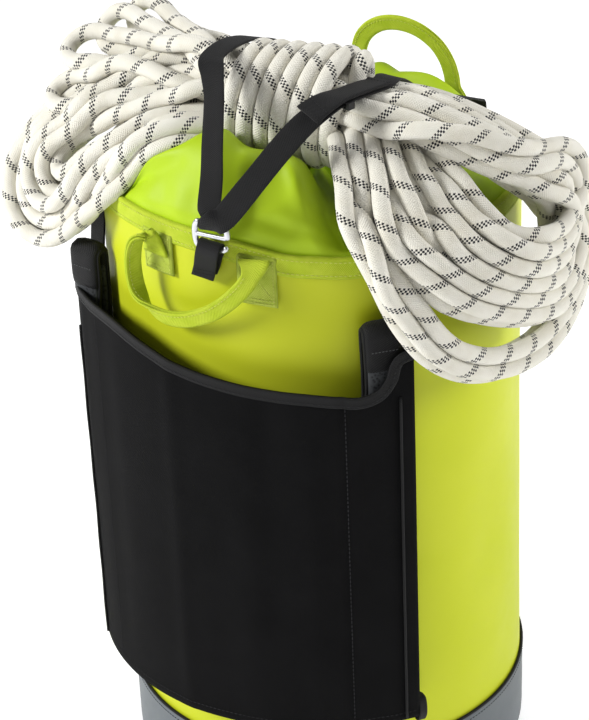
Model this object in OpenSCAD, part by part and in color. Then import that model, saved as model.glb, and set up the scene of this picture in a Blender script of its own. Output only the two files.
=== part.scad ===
// Upright rope bag for climbing and rigging work, with a rope strapped on top.
// Millimetres. Origin: centre of the underside. +Z up, -Y is the side with the cover and the hook.

/* [Bag] */
// Outer radius of the bag wall
bag_r = 150; // [140:1:165]
// Height of the rim above the floor
rim_z = 470.5; // [460:0.5:480]
// Thickness of the coated fabric
wall_t = 1.5; // [1:0.1:2]
// Height of the grey boot at the base
boot_h = 62; // [45:1:75]
// Height of the double-stitched rim band
rim_h = 15.5; // [12:0.5:20]
// Thickness of the foam disc in the base
base_foam_t = 5; // [3:0.5:8]

/* [Collar] */
// Height that the collar stands above the rim at its bulge in front
collar_front_h = 45; // [25:1:47]
// Height that the collar stands above the rim at the back
collar_rear_h = 22; // [13:1:26]
// Radius of the gathered mouth
mouth_r = 24; // [20:1:27]

/* [Handles] */
// Half of the distance between the two feet of a handle
handle_half = 38; // [34:0.5:42]
// Length of the straight legs of a handle
handle_leg = 15; // [12:1:26]
// Width of the folded handle webbing
handle_w = 12.5; // [10:0.5:14]
// Thickness of the folded handle webbing
handle_t = 4; // [3:0.5:4.5]
// Lean of the rear handle towards the middle of the bag, degrees
rear_lean = 15; // [5:1:20]

/* [Cover] */
// Outer radius of the cover over the harness
cover_r = 173.6; // [171:0.2:176]
// Half angle that the cover spans round the front, degrees
cover_half = 51; // [46:1:54]
// Height of the bottom edge of the cover
cover_z0 = 100; // [85:1:115]

/* [Straps] */
// Width of the black load strap
strap_w = 18; // [16:1:19]
// Thickness of the strap webbing
strap_t = 1.8; // [1.2:0.1:2]
// Distance of each rear anchor from the middle
anchor_x = 61.5; // [60.5:0.5:63]

/* [Hook] */
// Width of the aluminium hook
hook_w = 27; // [26:0.5:30]
// Thickness of the hook plate
hook_t = 3.6; // [3:0.2:3.8]
// Height of each slot
hook_slot_h = 5; // [5:0.2:5.6]
// Height of each cross bar
hook_bar = 4; // [3.4:0.2:4]

/* [Rope] */
// Radius of the bundle where the rope is wrapped
wrap_r = 42.5; // [40:0.5:42.5]
// Length of the wrapped stretch
wrap_len = 68; // [60:1:70]

/* [Hidden] */

$fn = 96;
// Colours of the fabrics and the metal
lime = "#c4d83c";
lime_dark = "#a8bc30";
canvas = "#1e1f21";
webbing = "#141416";
boot_grey = "#6f7478";
alloy = "#c9ccd0";
rope_white = "#e6e3d8";
// Gap between pieces that lie against each other
fit = 0.2;
// Thickness of the doubled webbing at the adjuster
doubler_t = 2.6;
// Foot line of both handles
hinge_y = 154.4;
hinge_z = 468;
// Sewn patches under the handle feet
patch_half = 5.2;
patch_mid = 14.6;
patch_z0 = 432;
patch_z1 = 466;
patch_t = 2.3;
// Lower cross bar of the hook, which sits in the front tab
hook_y = -160;
hook_x = 13;
tab_bar_z = 473;
hook_pitch = hook_slot_h + hook_bar;
strap_bar_z = tab_bar_z + 2 * hook_pitch;
// Middle and heading of the wrapped stretch of rope
wrap_mid = [24, -55.5, 538];
wrap_turn = 10;

// Sections of the left rope lobe: [centre, half width, half height, tilt of the width upwards]
LEFT_LOBE = [
    [[-50, -62, 541], 38, 30, 10],
    [[-95, -60, 540], 50, 29, 28],
    [[-128, -58, 525], 70, 28, 46],
    [[-156, -62, 500], 86, 27, 57],
    [[-178, -70, 484], 78, 24, 58],
    [[-194, -82, 468], 54, 18, 58],
    [[-202, -87, 461], 24, 9, 58]
];
// Sections of the right rope lobe, which hangs round the wall:
// [azimuth, half angle, radius, height, half thickness, lean]
RIGHT_LOBE = [
    [65, 28, 108, 522, 26, 6],
    [66, 32, 138, 514, 26, 20],
    [69, 32, 168, 494, 24, 48],
    [73, 33, 180, 459, 22, 82],
    [76, 31, 182, 420, 21, 90],
    [79, 26, 181, 385, 17, 90],
    [78, 14, 177, 366, 8, 90]
];
// Half width and half height of both lobes where they leave the wraps
lobe_neck = [34, 22];
// Drop of that neck below the middle of the wraps
lobe_drop = 8;
// Middle line of the load strap from the hook to each rear anchor
STRAP_RIGHT = [
    [26, -163, 499], [41, -153, 520], [54, -134, 541], [64, -117, 555], [73, -99, 562],
    [79, -76, 561.5], [82, -52, 558.5], [81, -38, 555], [76, -24, 549.5], [72, -6, 540.5],
    [71, 16, 529], [68, 50, 509], [65, 88, 494], [62, 118, 484.5],
    [anchor_x, 138, 476], [anchor_x, 143.6, 473], [anchor_x, 145, 466]
];
// Heading of the strap's width in plan at each of those points, degrees
STRAP_RIGHT_W = [5, 8, 14, 18, 16, 10, 4, -4, -8, -8, -8, -6, -4, -2, 0, 0, 0];
STRAP_LEFT = [
    [11, -158, 499.5], [9, -149, 518], [6, -141, 537], [-1, -124, 563], [-9, -111, 575],
    [-18, -96, 579.5], [-21, -68, 579], [-27, -30, 569], [-36, 20, 547], [-47, 70, 518],
    [-56, 108, 492], [-anchor_x, 138, 476], [-anchor_x, 143.6, 473], [-anchor_x, 145, 466]
];
STRAP_LEFT_W = [0, -4, -10, -18, -20, -16, -4, 8, 10, 10, 6, 0, 0, 0];
// Top edge of the cover, from the left side to the right, seen from the front
COVER_TOP = [
    [-150, 398], [-120, 400], [-98, 401], [-72, 401], [-42, 394], [-10, 386], [20, 381],
    [50, 377], [75, 375], [95, 372], [108, 370], [118, 374], [124, 384], [129, 399], [150, 402]
];

function smooth(a, b, x) =
    let (t = min(1, max(0, (x - a) / (b - a)))) t * t * (3 - 2 * t);
function around(azimuth, radius, z) = [radius * sin(azimuth), -radius * cos(azimuth), z];
function unit(v) = v / norm(v);
function plan(angle) = [cos(angle), sin(angle), 0];

// Ring of revolution between two azimuths, measured from the front towards +X
module sector(a0, a1) {
    rotate([0, 0, a0 - 90])
        rotate_extrude(angle = a1 - a0)
            children();
}

module sector_plate(r0, r1, z0, z1, a0, a1) {
    sector(a0, a1)
        translate([r0, z0])
            square([r1 - r0, z1 - z0]);
}

// Closed solid through a list of rings that all have the same number of points
module loft(rings) {
    count = len(rings);
    side = len(rings[0]);
    points = [for (ring = rings) for (p = ring) p];
    skin = [
        for (i = [0 : count - 2])
            for (j = [0 : side - 1])
                let (k = (j + 1) % side)
                each [
                    [i * side + j, (i + 1) * side + k, i * side + k],
                    [i * side + j, (i + 1) * side + j, (i + 1) * side + k]
                ]
    ];
    start_cap = [[for (j = [0 : side - 1]) j]];
    end_cap = [[for (j = [side - 1 : -1 : 0]) (count - 1) * side + j]];
    polyhedron(points = points, faces = concat(start_cap, skin, end_cap), convexity = 6);
}

// Direction of a band's width at one point of its path, square to the path
function band_across(path, headings, i) =
    let (
        last = len(path) - 1,
        along = unit(path[min(i + 1, last)] - path[max(i - 1, 0)]),
        flat = plan(headings[i])
    )
    unit(flat - (flat * along) * along);

// Flat band of webbing along part of a path, with the heading of its width at each point
module band(path, headings, w, t, lift = 0, part = []) {
    last = len(path) - 1;
    range = len(part) == 0 ? [0, last] : part;
    loft([
        for (i = [range[0] : range[1]])
            let (
                along = unit(path[min(i + 1, last)] - path[max(i - 1, 0)]),
                across = band_across(path, headings, i),
                up = cross(across, along),
                mid = path[i] - up * lift
            )
            [
                mid - across * w / 2 - up * t / 2,
                mid - across * w / 2 + up * t / 2,
                mid + across * w / 2 + up * t / 2,
                mid + across * w / 2 - up * t / 2
            ]
    ]);
}

// Base and wall
module base_boot() {
    r = bag_r + wall_t + fit;
    color(boot_grey)
        rotate_extrude()
            polygon([
                [0, 0], [r - 3, 0], [r, 3], [r, boot_h], [r - wall_t, boot_h],
                [r - wall_t, wall_t], [0, wall_t]
            ]);
}

module base_panel() {
    color("dimgray")
        translate([0, 0, wall_t + fit])
            cylinder(r = bag_r - wall_t - fit, h = base_foam_t);
}

module boot_piping() {
    color(webbing)
        rotate_extrude()
            translate([bag_r + 1.3, boot_h + 1.3])
                circle(r = 1.1, $fn = 24);
}

module body_tube() {
    color(lime)
        translate([0, 0, wall_t + fit])
            difference() {
                cylinder(r = bag_r, h = rim_z - 2 * wall_t - 2 * fit);
                translate([0, 0, -1])
                    cylinder(r = bag_r - wall_t, h = rim_z);
            }
}

module rim_band() {
    inner = bag_r - wall_t - fit;
    outer = bag_r + fit;
    color(lime_dark)
        rotate_extrude()
            polygon([
                [outer, rim_z - rim_h], [outer + 1.4, rim_z - rim_h], [outer + 1.4, rim_z],
                [inner - 1.2, rim_z], [inner - 1.2, rim_z - rim_h + 3], [inner, rim_z - rim_h + 3],
                [inner, rim_z - 1.4], [outer, rim_z - 1.4]
            ]);
}

// The collar bulges over the front and the back and lies low under the rope at each side
module collar() {
    steps = 60;
    t = 1.3;
    r_top = bag_r - wall_t - fit - 1.2 - fit;
    front = collar_front_h;
    function lift(a) =
        let (b = a > 180 ? a - 360 : a)
        12
        + (front - 12) * smooth(-50, -26, b) * (1 - smooth(12, 36, b))
        + (collar_rear_h - 12) * smooth(158, 175, abs(b));
    function outline(h) = [
        [r_top, rim_z - 12], [r_top, rim_z + 2], [r_top - 5, rim_z + 0.45 * h],
        [r_top - 14, rim_z + 0.85 * h], [r_top - 27, rim_z + h], [r_top - 41, rim_z + 0.95 * h],
        [r_top - 56, rim_z + 0.68 * h], [r_top - 74, rim_z + 0.4 * h + 4],
        [r_top - 95, rim_z + 0.2 * h + 6], [mouth_r + 6, rim_z + 12]
    ];
    color(lime)
        loft_loop([
            for (s = [0 : steps - 1])
                let (a = s * 360 / steps, p = outline(lift(a)))
                concat(
                    [for (q = p) around(a, q[0], q[1])],
                    [for (i = [len(p) - 1 : -1 : 0]) around(a, p[i][0] - t, p[i][1] - t)]
                )
        ]);
}

// Closed ring through sections, the last joined to the first
module loft_loop(rings) {
    count = len(rings);
    side = len(rings[0]);
    points = [for (ring = rings) for (p = ring) p];
    skin = [
        for (i = [0 : count - 1])
            for (j = [0 : side - 1])
                let (k = (j + 1) % side, n = (i + 1) % count)
                each [
                    [i * side + j, i * side + k, n * side + k],
                    [i * side + j, n * side + k, n * side + j]
                ]
    ];
    polyhedron(points = points, faces = skin, convexity = 6);
}

module collar_hem() {
    color(lime_dark)
        rotate_extrude()
            translate([mouth_r, rim_z + 11])
                circle(r = 3.6, $fn = 32);
}

module back_pad() {
    color(webbing)
        sector_plate(bag_r + fit, bag_r + 4.8, 112, 350, -34, 34);
}

// Sewn feet of the handles
module patch(azimuth, shade) {
    color(shade)
        sector_plate(
            bag_r + 1.4 + 2 * fit, bag_r + 1.4 + patch_t, patch_z0, patch_z1,
            azimuth - patch_half, azimuth + patch_half
        );
}
module front_patch_left() { patch(-patch_mid, lime_dark); }
module front_patch_right() { patch(patch_mid, lime_dark); }
module rear_patch_left() { patch(180 + patch_mid, webbing); }
module rear_patch_right() { patch(180 - patch_mid, webbing); }

// U of folded webbing that hangs from the origin
module handle_loop() {
    rotate([90, 0, 0])
        translate([0, 0, -handle_t / 2])
            linear_extrude(handle_t)
                union() {
                    for (s = [-1, 1])
                        translate([s * handle_half - handle_w / 2, -handle_leg])
                            square([handle_w, handle_leg]);
                    translate([0, -handle_leg])
                        intersection() {
                            difference() {
                                circle(r = handle_half + handle_w / 2);
                                circle(r = handle_half - handle_w / 2);
                            }
                            translate([-handle_half * 2, -handle_half * 2])
                                square([handle_half * 4, handle_half * 2]);
                        }
                }
}

module front_handle() {
    color(lime)
        translate([0, -hinge_y, hinge_z])
            handle_loop();
}

module rear_handle() {
    color(lime)
        translate([0, hinge_y, hinge_z])
            rotate([180 + rear_lean, 0, 0])
                handle_loop();
}

// Front tab: a loop of webbing round the lower bar of the hook, sewn to the wall below the rim
module hook_tab() {
    ring_in = 3;
    ring_out = 4.6;
    foot_z = 447;
    round_top = [
        for (a = [-30 : 15 : 210])
            [hook_y, tab_bar_z] + ring_out * [cos(a), sin(a)]
    ];
    color(webbing)
        translate([hook_x - strap_w / 2 - 0.3, 0, 0])
            rotate([90, 0, 90])
                linear_extrude(strap_w - 1)
                    difference() {
                        polygon(concat(round_top, [
                            [-bag_r - 4.6, foot_z], [-bag_r - 2.2, foot_z],
                            [-bag_r - 2.2, rim_z - rim_h - 4]
                        ]));
                        translate([hook_y, tab_bar_z])
                            circle(r = ring_in);
                    }
}

module strap_anchor(side) {
    half = asin(strap_w / 2 / bag_r);
    mid = 180 - side * asin(anchor_x / bag_r);
    color(webbing)
        sector_plate(
            bag_r + 1.4 + 2 * fit, bag_r + 3.6, 430, 462, mid - half, mid + half
        );
}
module strap_anchor_left() { strap_anchor(-1); }
module strap_anchor_right() { strap_anchor(1); }

// Cover over the shoulder harness
module cover_outline(drop) {
    polygon(concat(
        [[-200, cover_z0]],
        [[-200, COVER_TOP[0][1] - drop]],
        [for (p = COVER_TOP) [p[0], p[1] - drop]],
        [[200, COVER_TOP[len(COVER_TOP) - 1][1] - drop]],
        [[200, cover_z0]]
    ));
}

module cover_window(drop) {
    translate([0, -60, 0])
        rotate([90, 0, 0])
            linear_extrude(200)
                cover_outline(drop);
}

module cover_front() {
    color(canvas)
        intersection() {
            sector_plate(cover_r - 1.6, cover_r, cover_z0, 420, -cover_half, cover_half);
            cover_window(0);
        }
}

module cover_hem() {
    color(webbing)
        intersection() {
            sector_plate(cover_r + 0.1, cover_r + 1.3, cover_z0, 420, -cover_half, cover_half);
            difference() {
                cover_window(0);
                cover_window(8);
            }
        }
}

module cover_side(side) {
    a = side * (cover_half - 0.35);
    color(canvas)
        sector_plate(
            bag_r + fit, cover_r - 1.8, cover_z0 + 1.8, 396, a - 0.3, a + 0.3
        );
}
module cover_side_left() { cover_side(-1); }
module cover_side_right() { cover_side(1); }

module cover_bottom() {
    color(canvas)
        sector_plate(bag_r + fit, cover_r - 1.8, cover_z0, cover_z0 + 1.6, -cover_half, cover_half);
}

// Piping where the front of the cover meets each side
module cover_piping(side) {
    a = side * (cover_half - 3.5);
    at = around(a, cover_r + 0.9, cover_z0 + 2);
    color(webbing)
        translate(at)
            cylinder(r = 0.8, h = 268, $fn = 24);
}
module cover_piping_left() { cover_piping(-1); }
module cover_piping_right() { cover_piping(1); }

module cover_pull_tab() {
    color(webbing)
        sector_plate(bag_r + 10, bag_r + 21, cover_z0 - 6, cover_z0 + 13, cover_half + 0.1, cover_half + 1);
}

// Padded shoulder strap folded into the cover, with a rounded fold at the top
module shoulder_strap(side, top, a0, a1) {
    r0 = bag_r + 7;
    r1 = bag_r + 20;
    fold = (r1 - r0) / 2;
    color("#2a2b2d")
        sector(side > 0 ? a0 : -a1, side > 0 ? a1 : -a0)
            union() {
                translate([r0, 150])
                    square([r1 - r0, top - fold - 150]);
                translate([r0 + fold, top - fold])
                    circle(r = fold);
            }
}
module shoulder_strap_left() { shoulder_strap(-1, 434, 39.5, 49.6); }
module shoulder_strap_right() { shoulder_strap(1, 418, 39.5, 49.6); }

module shoulder_anchor(side) {
    mid = side * 46;
    color(webbing)
        sector_plate(bag_r + 1.4 + 2 * fit, bag_r + 4.4, 380, 452, mid - 3.6, mid + 3.6);
}
module shoulder_anchor_left() { shoulder_anchor(-1); }
module shoulder_anchor_right() { shoulder_anchor(1); }

// Ladder lock at the lower end of each shoulder strap
module ladder_lock(side) {
    w = 30;
    h = 24;
    t = 5;
    a = side * 42.8;
    color("#101012")
        translate(around(a, bag_r + 13.5, 132))
            rotate([90, 0, a])
                translate([0, 0, -t / 2])
                    linear_extrude(t)
                        difference() {
                            square([w, h], center = true);
                            for (z = [-6.5, 1, 8])
                                translate([0, z])
                                    square([w - 8, 4.4], center = true);
                        }
}
module ladder_lock_left() { ladder_lock(-1); }
module ladder_lock_right() { ladder_lock(1); }

module lower_webbing(side) {
    mid = side * 42.8;
    color(webbing)
        sector_plate(bag_r + fit, bag_r + 2.4, cover_z0 + 4, 150, mid - 4, mid + 4);
}
module lower_webbing_left() { lower_webbing(-1); }
module lower_webbing_right() { lower_webbing(1); }

// Load strap over the rope
module strap_right() {
    color(webbing)
        band(STRAP_RIGHT, STRAP_RIGHT_W, strap_w, strap_t);
}

module strap_left() {
    color(webbing)
        band(STRAP_LEFT, STRAP_LEFT_W, strap_w, strap_t);
}

// Fold of the load strap round the upper bar of the hook
module strap_fold() {
    ring_in = 3;
    ring_out = 4.7;
    color(webbing)
        translate([hook_x - strap_w / 2, 0, 0])
            rotate([90, 0, 90])
                linear_extrude(strap_w)
                    translate([hook_y, strap_bar_z])
                        difference() {
                            circle(r = ring_out);
                            circle(r = ring_in);
                        }
}

// Folded and sewn end of the upper webbing, lying on the right branch
module strap_doubler() {
    color(webbing)
        band(
            STRAP_RIGHT, STRAP_RIGHT_W, strap_w + 2, doubler_t,
            -(strap_t / 2 + doubler_t / 2 + 2.2), [4, 6]
        );
}

// Frame under the front fold of the doubler, through which the right branch slides
module adjuster_frame() {
    along = unit(STRAP_RIGHT[5] - STRAP_RIGHT[4]);
    mean = band_across(STRAP_RIGHT, STRAP_RIGHT_W, 4) + band_across(STRAP_RIGHT, STRAP_RIGHT_W, 5);
    across = unit(mean - (mean * along) * along);
    up = cross(across, along);
    start = STRAP_RIGHT[4] + along * 3;
    function corner(x, z, d) = start + along * d + across * x + up * z;
    function ring(w, t, d) = [
        corner(-w / 2, -t / 2, d), corner(-w / 2, t / 2, d),
        corner(w / 2, t / 2, d), corner(w / 2, -t / 2, d)
    ];
    slot = [strap_w + 1.4, strap_t + 1.6];
    color(webbing)
        difference() {
            loft([ring(slot[0] + 5, slot[1] + 1.4, 0), ring(slot[0] + 5, slot[1] + 1.4, 6)]);
            loft([ring(slot[0], slot[1], -1), ring(slot[0], slot[1], 7)]);
        }
}

// Open ladder hook: two slots, the lower one with a gate on its right
module hook() {
    slot_w = strap_w + 1.5;
    h = 3 * hook_bar + 2 * hook_slot_h;
    mid_z = tab_bar_z + hook_pitch;
    gate = 3;
    color(alloy)
        translate([hook_x, hook_y, mid_z])
            rotate([90, 0, 0])
                translate([0, 0, -hook_t / 2])
                    linear_extrude(hook_t)
                        difference() {
                            union() {
                                square([hook_w - 4, h], center = true);
                                for (s = [-1, 1])
                                    translate([s * (hook_w / 2 - 6), 0])
                                        intersection() {
                                            scale(1.6)
                                                circle(r = h / 2);
                                            square([12, h], center = true);
                                        }
                            }
                            for (s = [-1, 1])
                                translate([0, s * hook_pitch / 2])
                                    square([slot_w, hook_slot_h], center = true);
                            translate([slot_w / 2 - 1, -hook_pitch / 2 - gate / 2])
                                square([hook_w, gate]);
                        }
}

// Rope: the wrapped middle and the two lobes of its hank
module rope_wraps() {
    color(rope_white)
        translate(wrap_mid)
            rotate([0, 0, wrap_turn])
                rotate([0, 90, 0])
                    cylinder(r = wrap_r, h = wrap_len, center = true);
}

// Ring where a lobe leaves the wraps
function neck_ring(side, shift, turn) =
    [
        for (j = [0 : side - 1])
            let (a = turn * j * 360 / side)
            wrap_mid + plan(wrap_turn) * shift - [0, 0, lobe_drop]
                + plan(wrap_turn + 90) * lobe_neck[0] * cos(a) + [0, 0, lobe_neck[1] * sin(a)]
    ];

module rope_left_lobe() {
    side = 24;
    color(rope_white)
        loft(concat(
            [neck_ring(side, -wrap_len / 2 - fit, -1)],
            [
                for (s = LEFT_LOBE)
                    let (
                        across = [0, cos(s[3]), sin(s[3])],
                        up = [0, -sin(s[3]), cos(s[3])]
                    )
                    [
                        for (j = [0 : side - 1])
                            let (a = -j * 360 / side)
                            s[0] + across * s[1] * cos(a) + up * s[2] * sin(a)
                    ]
            ]
        ));
}

module rope_right_lobe() {
    side = 24;
    color(rope_white)
        loft(concat(
            [neck_ring(side, wrap_len / 2 + fit, 1)],
            [
                for (s = RIGHT_LOBE)
                    [
                        for (j = [0 : side - 1])
                            let (
                                a = j * 360 / side,
                                r = s[2] + s[4] * sin(a) * sin(s[5]),
                                z = s[3] + s[4] * sin(a) * cos(s[5])
                            )
                            around(s[0] + s[1] * cos(a), r, z)
                    ]
            ]
        ));
}

base_boot();
base_panel();
boot_piping();
body_tube();
rim_band();
collar();
collar_hem();
back_pad();
front_patch_left();
front_patch_right();
rear_patch_left();
rear_patch_right();
hook_tab();
strap_anchor_left();
strap_anchor_right();
cover_front();
cover_hem();
cover_side_left();
cover_side_right();
cover_bottom();
cover_piping_left();
cover_piping_right();
cover_pull_tab();
shoulder_strap_left();
shoulder_strap_right();
shoulder_anchor_left();
shoulder_anchor_right();
ladder_lock_left();
ladder_lock_right();
lower_webbing_left();
lower_webbing_right();
front_handle();
rear_handle();
strap_left();
strap_right();
strap_fold();
strap_doubler();
adjuster_frame();
hook();
rope_wraps();
rope_left_lobe();
rope_right_lobe();
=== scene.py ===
"""Looks of the upright rope bag: fabrics, webbing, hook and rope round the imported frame."""
import math

import bpy
import numpy as np
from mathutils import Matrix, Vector


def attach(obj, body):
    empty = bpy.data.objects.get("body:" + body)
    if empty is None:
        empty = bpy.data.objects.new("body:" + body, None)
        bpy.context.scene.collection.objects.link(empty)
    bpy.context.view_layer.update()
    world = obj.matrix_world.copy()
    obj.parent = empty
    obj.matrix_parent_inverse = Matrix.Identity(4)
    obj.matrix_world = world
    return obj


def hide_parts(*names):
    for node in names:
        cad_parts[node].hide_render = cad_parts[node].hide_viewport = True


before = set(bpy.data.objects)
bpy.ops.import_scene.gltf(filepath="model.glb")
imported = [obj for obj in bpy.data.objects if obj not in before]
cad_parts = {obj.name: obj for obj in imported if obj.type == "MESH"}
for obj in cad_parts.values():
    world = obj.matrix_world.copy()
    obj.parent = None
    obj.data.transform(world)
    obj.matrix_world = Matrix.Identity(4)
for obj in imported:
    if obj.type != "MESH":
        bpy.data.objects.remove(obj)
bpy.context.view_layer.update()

MM = 0.001
BAG_R = 150.0
RIM_Z = 470.5
RIM_H = 15.5
BOOT_H = 62.0
COVER_R = 173.6
COVER_HALF = 51.0
COVER_Z0 = 100.0
HINGE_Y = 154.4
HINGE_Z = 468.0
WHITE = (1.0, 1.0, 1.0, 1.0)


# ---------------------------------------------------------------- geometry

def sin_deg(angle):
    """Sine of an angle in degrees."""
    return np.sin(np.radians(angle))


def turn_of(azimuth):
    """Azimuth brought between -180 and 180."""
    return (np.asarray(azimuth, float) + 180) % 360 - 180


def around(azimuth, radius, z):
    """Points at an azimuth from the front towards +X, a radius and a height."""
    a = np.radians(np.asarray(azimuth, float))
    r = np.asarray(radius, float)
    z = np.asarray(z, float)
    return np.stack(np.broadcast_arrays(r * np.sin(a), -r * np.cos(a), z), -1)


def unit(v):
    """Vectors scaled to length one."""
    v = np.asarray(v, float)
    return v / np.maximum(np.linalg.norm(v, axis=-1, keepdims=True), 1e-9)


def smooth(a, b, x):
    """Soft step from 0 at a to 1 at b."""
    t = np.clip((np.asarray(x, float) - a) / (b - a), 0, 1)
    return t * t * (3 - 2 * t)


def bump(x, middle, width):
    """Soft bell of height 1 at the middle."""
    return np.exp(-((np.asarray(x, float) - middle) / width) ** 2)


def dense_spline(points, per_span=16):
    """Many points along a Catmull-Rom curve through the given ones."""
    p = np.asarray(points, float)
    p = np.concatenate([2 * p[:1] - p[1:2], p, 2 * p[-1:] - p[-2:-1]])
    t = np.linspace(0, 1, per_span, endpoint=False)[:, None]
    parts = []
    for a, b, c, d in zip(p[:-3], p[1:-2], p[2:-1], p[3:]):
        parts.append(0.5 * (2 * b + (c - a) * t + (2 * a - 5 * b + 4 * c - d) * t ** 2
                            + (3 * b - a - 3 * c + d) * t ** 3))
    return np.concatenate(parts + [p[-2:-1]])


def lengths(points):
    """Distance from the start to each point."""
    steps = np.linalg.norm(np.diff(points[:, :3], axis=0), axis=1)
    return np.concatenate([[0], np.cumsum(steps)])


def resample(points, step=None, count=None):
    """Evenly spaced points along a polyline. Further columns are carried along."""
    s = lengths(points)
    n = count or max(2, int(round(s[-1] / step)) + 1)
    t = np.linspace(0, s[-1], n)
    return np.stack([np.interp(t, s, points[:, k]) for k in range(points.shape[1])], -1)


def spline(points, step=None, count=None):
    """Evenly spaced points on a smooth curve through the given ones."""
    return resample(dense_spline(points), step, count)


def tangents(path):
    """Unit direction of a path at each of its points."""
    return unit(np.gradient(path, axis=0))


def grid_faces(rows, cols, wrap_rows=False, wrap_cols=False):
    """Quads of a grid of points in row order."""
    i = np.arange(rows if wrap_rows else rows - 1)
    j = np.arange(cols if wrap_cols else cols - 1)
    i, j = [a.ravel() for a in np.meshgrid(i, j, indexing="ij")]
    k, m = (i + 1) % rows, (j + 1) % cols
    return np.stack([i * cols + j, k * cols + j, k * cols + m, i * cols + m], -1)


def tube_faces(rows, cols, closed=False):
    """Faces of a grid wrapped round a path, with both ends capped unless the path is closed."""
    faces = grid_faces(rows, cols, closed, True).tolist()
    if not closed:
        faces.append(list(range(cols)))
        faces.append(list(range(rows * cols - 1, (rows - 1) * cols - 1, -1)))
    return faces


def mesh_object(name, points, faces, uvs=None):
    """A mesh object from points in millimetres."""
    mesh = bpy.data.meshes.new(name)
    flat = np.asarray(points, float).reshape(-1, 3) * MM
    mesh.from_pydata(flat.tolist(), [], [list(map(int, f)) for f in faces])
    mesh.polygons.foreach_set("use_smooth", [True] * len(mesh.polygons))
    if uvs is not None:
        layer = mesh.uv_layers.new(name="UVMap")
        layer.data.foreach_set("uv", np.asarray(uvs, float).ravel())
    mesh.update()
    obj = bpy.data.objects.new(name, mesh)
    bpy.context.scene.collection.objects.link(obj)
    return obj


def grid_uvs(rows, cols, u, v, wrap_rows=False, wrap_cols=False):
    """UVs for grid_faces, from the u of each row and the v of each column, in metres."""
    last_u = u[-1] + (u[-1] - u[-2])
    last_v = v[-1] + (v[-1] - v[-2])
    faces = grid_faces(rows, cols, wrap_rows, wrap_cols)
    i, j = faces // cols, faces % cols
    uu, vv = np.asarray(u)[i], np.asarray(v)[j]
    if wrap_rows:
        low = i[:, :1] == rows - 1
        uu = np.where(low & (i == 0), last_u, uu)
    if wrap_cols:
        low = (j[:, 0] == cols - 1)[:, None]
        vv = np.where(low & (j == 0), last_v, vv)
    return np.stack([uu, vv], -1)


def face_outwards(obj):
    """Turns the faces of a closed mesh outwards."""
    mesh = obj.data
    v = np.empty(len(mesh.vertices) * 3)
    mesh.vertices.foreach_get("co", v)
    v = v.reshape(-1, 3)
    mesh.calc_loop_triangles()
    t = np.empty(len(mesh.loop_triangles) * 3, int)
    mesh.loop_triangles.foreach_get("vertices", t)
    a, b, c = v[t.reshape(-1, 3)].transpose(1, 0, 2)
    if np.sum(np.cross(b, c) * a) < 0:
        mesh.flip_normals()


def flip_if_inward(obj):
    """Makes an open surface round the axis face away from it."""
    mesh = obj.data
    face = mesh.polygons[len(mesh.polygons) // 2]
    c = face.center
    if face.normal.x * c.x + face.normal.y * c.y < 0:
        mesh.flip_normals()


def place(obj, body, finish, *nodes):
    """Rides a piece on its body and hides the nodes that it stands for. The finish is not used."""
    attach(obj, body)
    if nodes:
        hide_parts(*nodes)
    return obj


def skin(name, grid, finish, node, wrap_rows=False, wrap_cols=False,
         thick=0.0, offset=-1.0, level=0, turn=flip_if_inward):
    """A surface on the bag from a grid of points, given thickness and smoothed."""
    rows, cols = grid.shape[:2]
    u = lengths(grid[:, cols // 2]) * MM
    v = lengths(grid[rows // 2]) * MM
    obj = mesh_object(name, grid, grid_faces(rows, cols, wrap_rows, wrap_cols),
                      grid_uvs(rows, cols, u, v, wrap_rows, wrap_cols))
    if thick:
        shell = obj.modifiers.new("Thickness", "SOLIDIFY")
        shell.thickness = thick * MM
        shell.offset = offset
        shell.use_even_offset = False
    if level:
        soft = obj.modifiers.new("Smooth", "SUBSURF")
        soft.levels = soft.render_levels = level
    obj.data.materials.append(finish[0])
    if turn:
        turn(obj)
    return place(obj, "bag", finish, node)


def square_to(side, along):
    """Unit vectors with the part of them that runs along another direction taken out."""
    return unit(side - np.sum(side * along, -1, keepdims=True) * along)


def squared_off(angles, power_x, power_z):
    """Cosines and sines of an outline between round and square."""
    c, s = np.cos(angles), np.sin(angles)
    return np.sign(c) * np.abs(c) ** power_x, np.sign(s) * np.abs(s) ** power_z


def web_section(width, thick):
    """Outline of woven webbing: rounded edges and a slightly thinner middle."""
    half = width / 2
    top = [(-half, 0.12), (-half + 0.22 * thick, 0.4), (-half + 0.6 * thick, 0.5),
           (-half / 2, 0.46), (0, 0.45), (half / 2, 0.46),
           (half - 0.6 * thick, 0.5), (half - 0.22 * thick, 0.4), (half, 0.12)]
    top = [(x, z * thick) for x, z in top]
    return np.array(top + [(x, -z) for x, z in reversed(top)])


def pad_section(width, thick):
    """Outline of a soft padded strap."""
    a = np.radians(np.arange(0, 360, 20))
    x, z = squared_off(a, 0.55, 0.8)
    return np.stack([x * width / 2, z * thick / 2], -1)[::-1]


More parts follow.
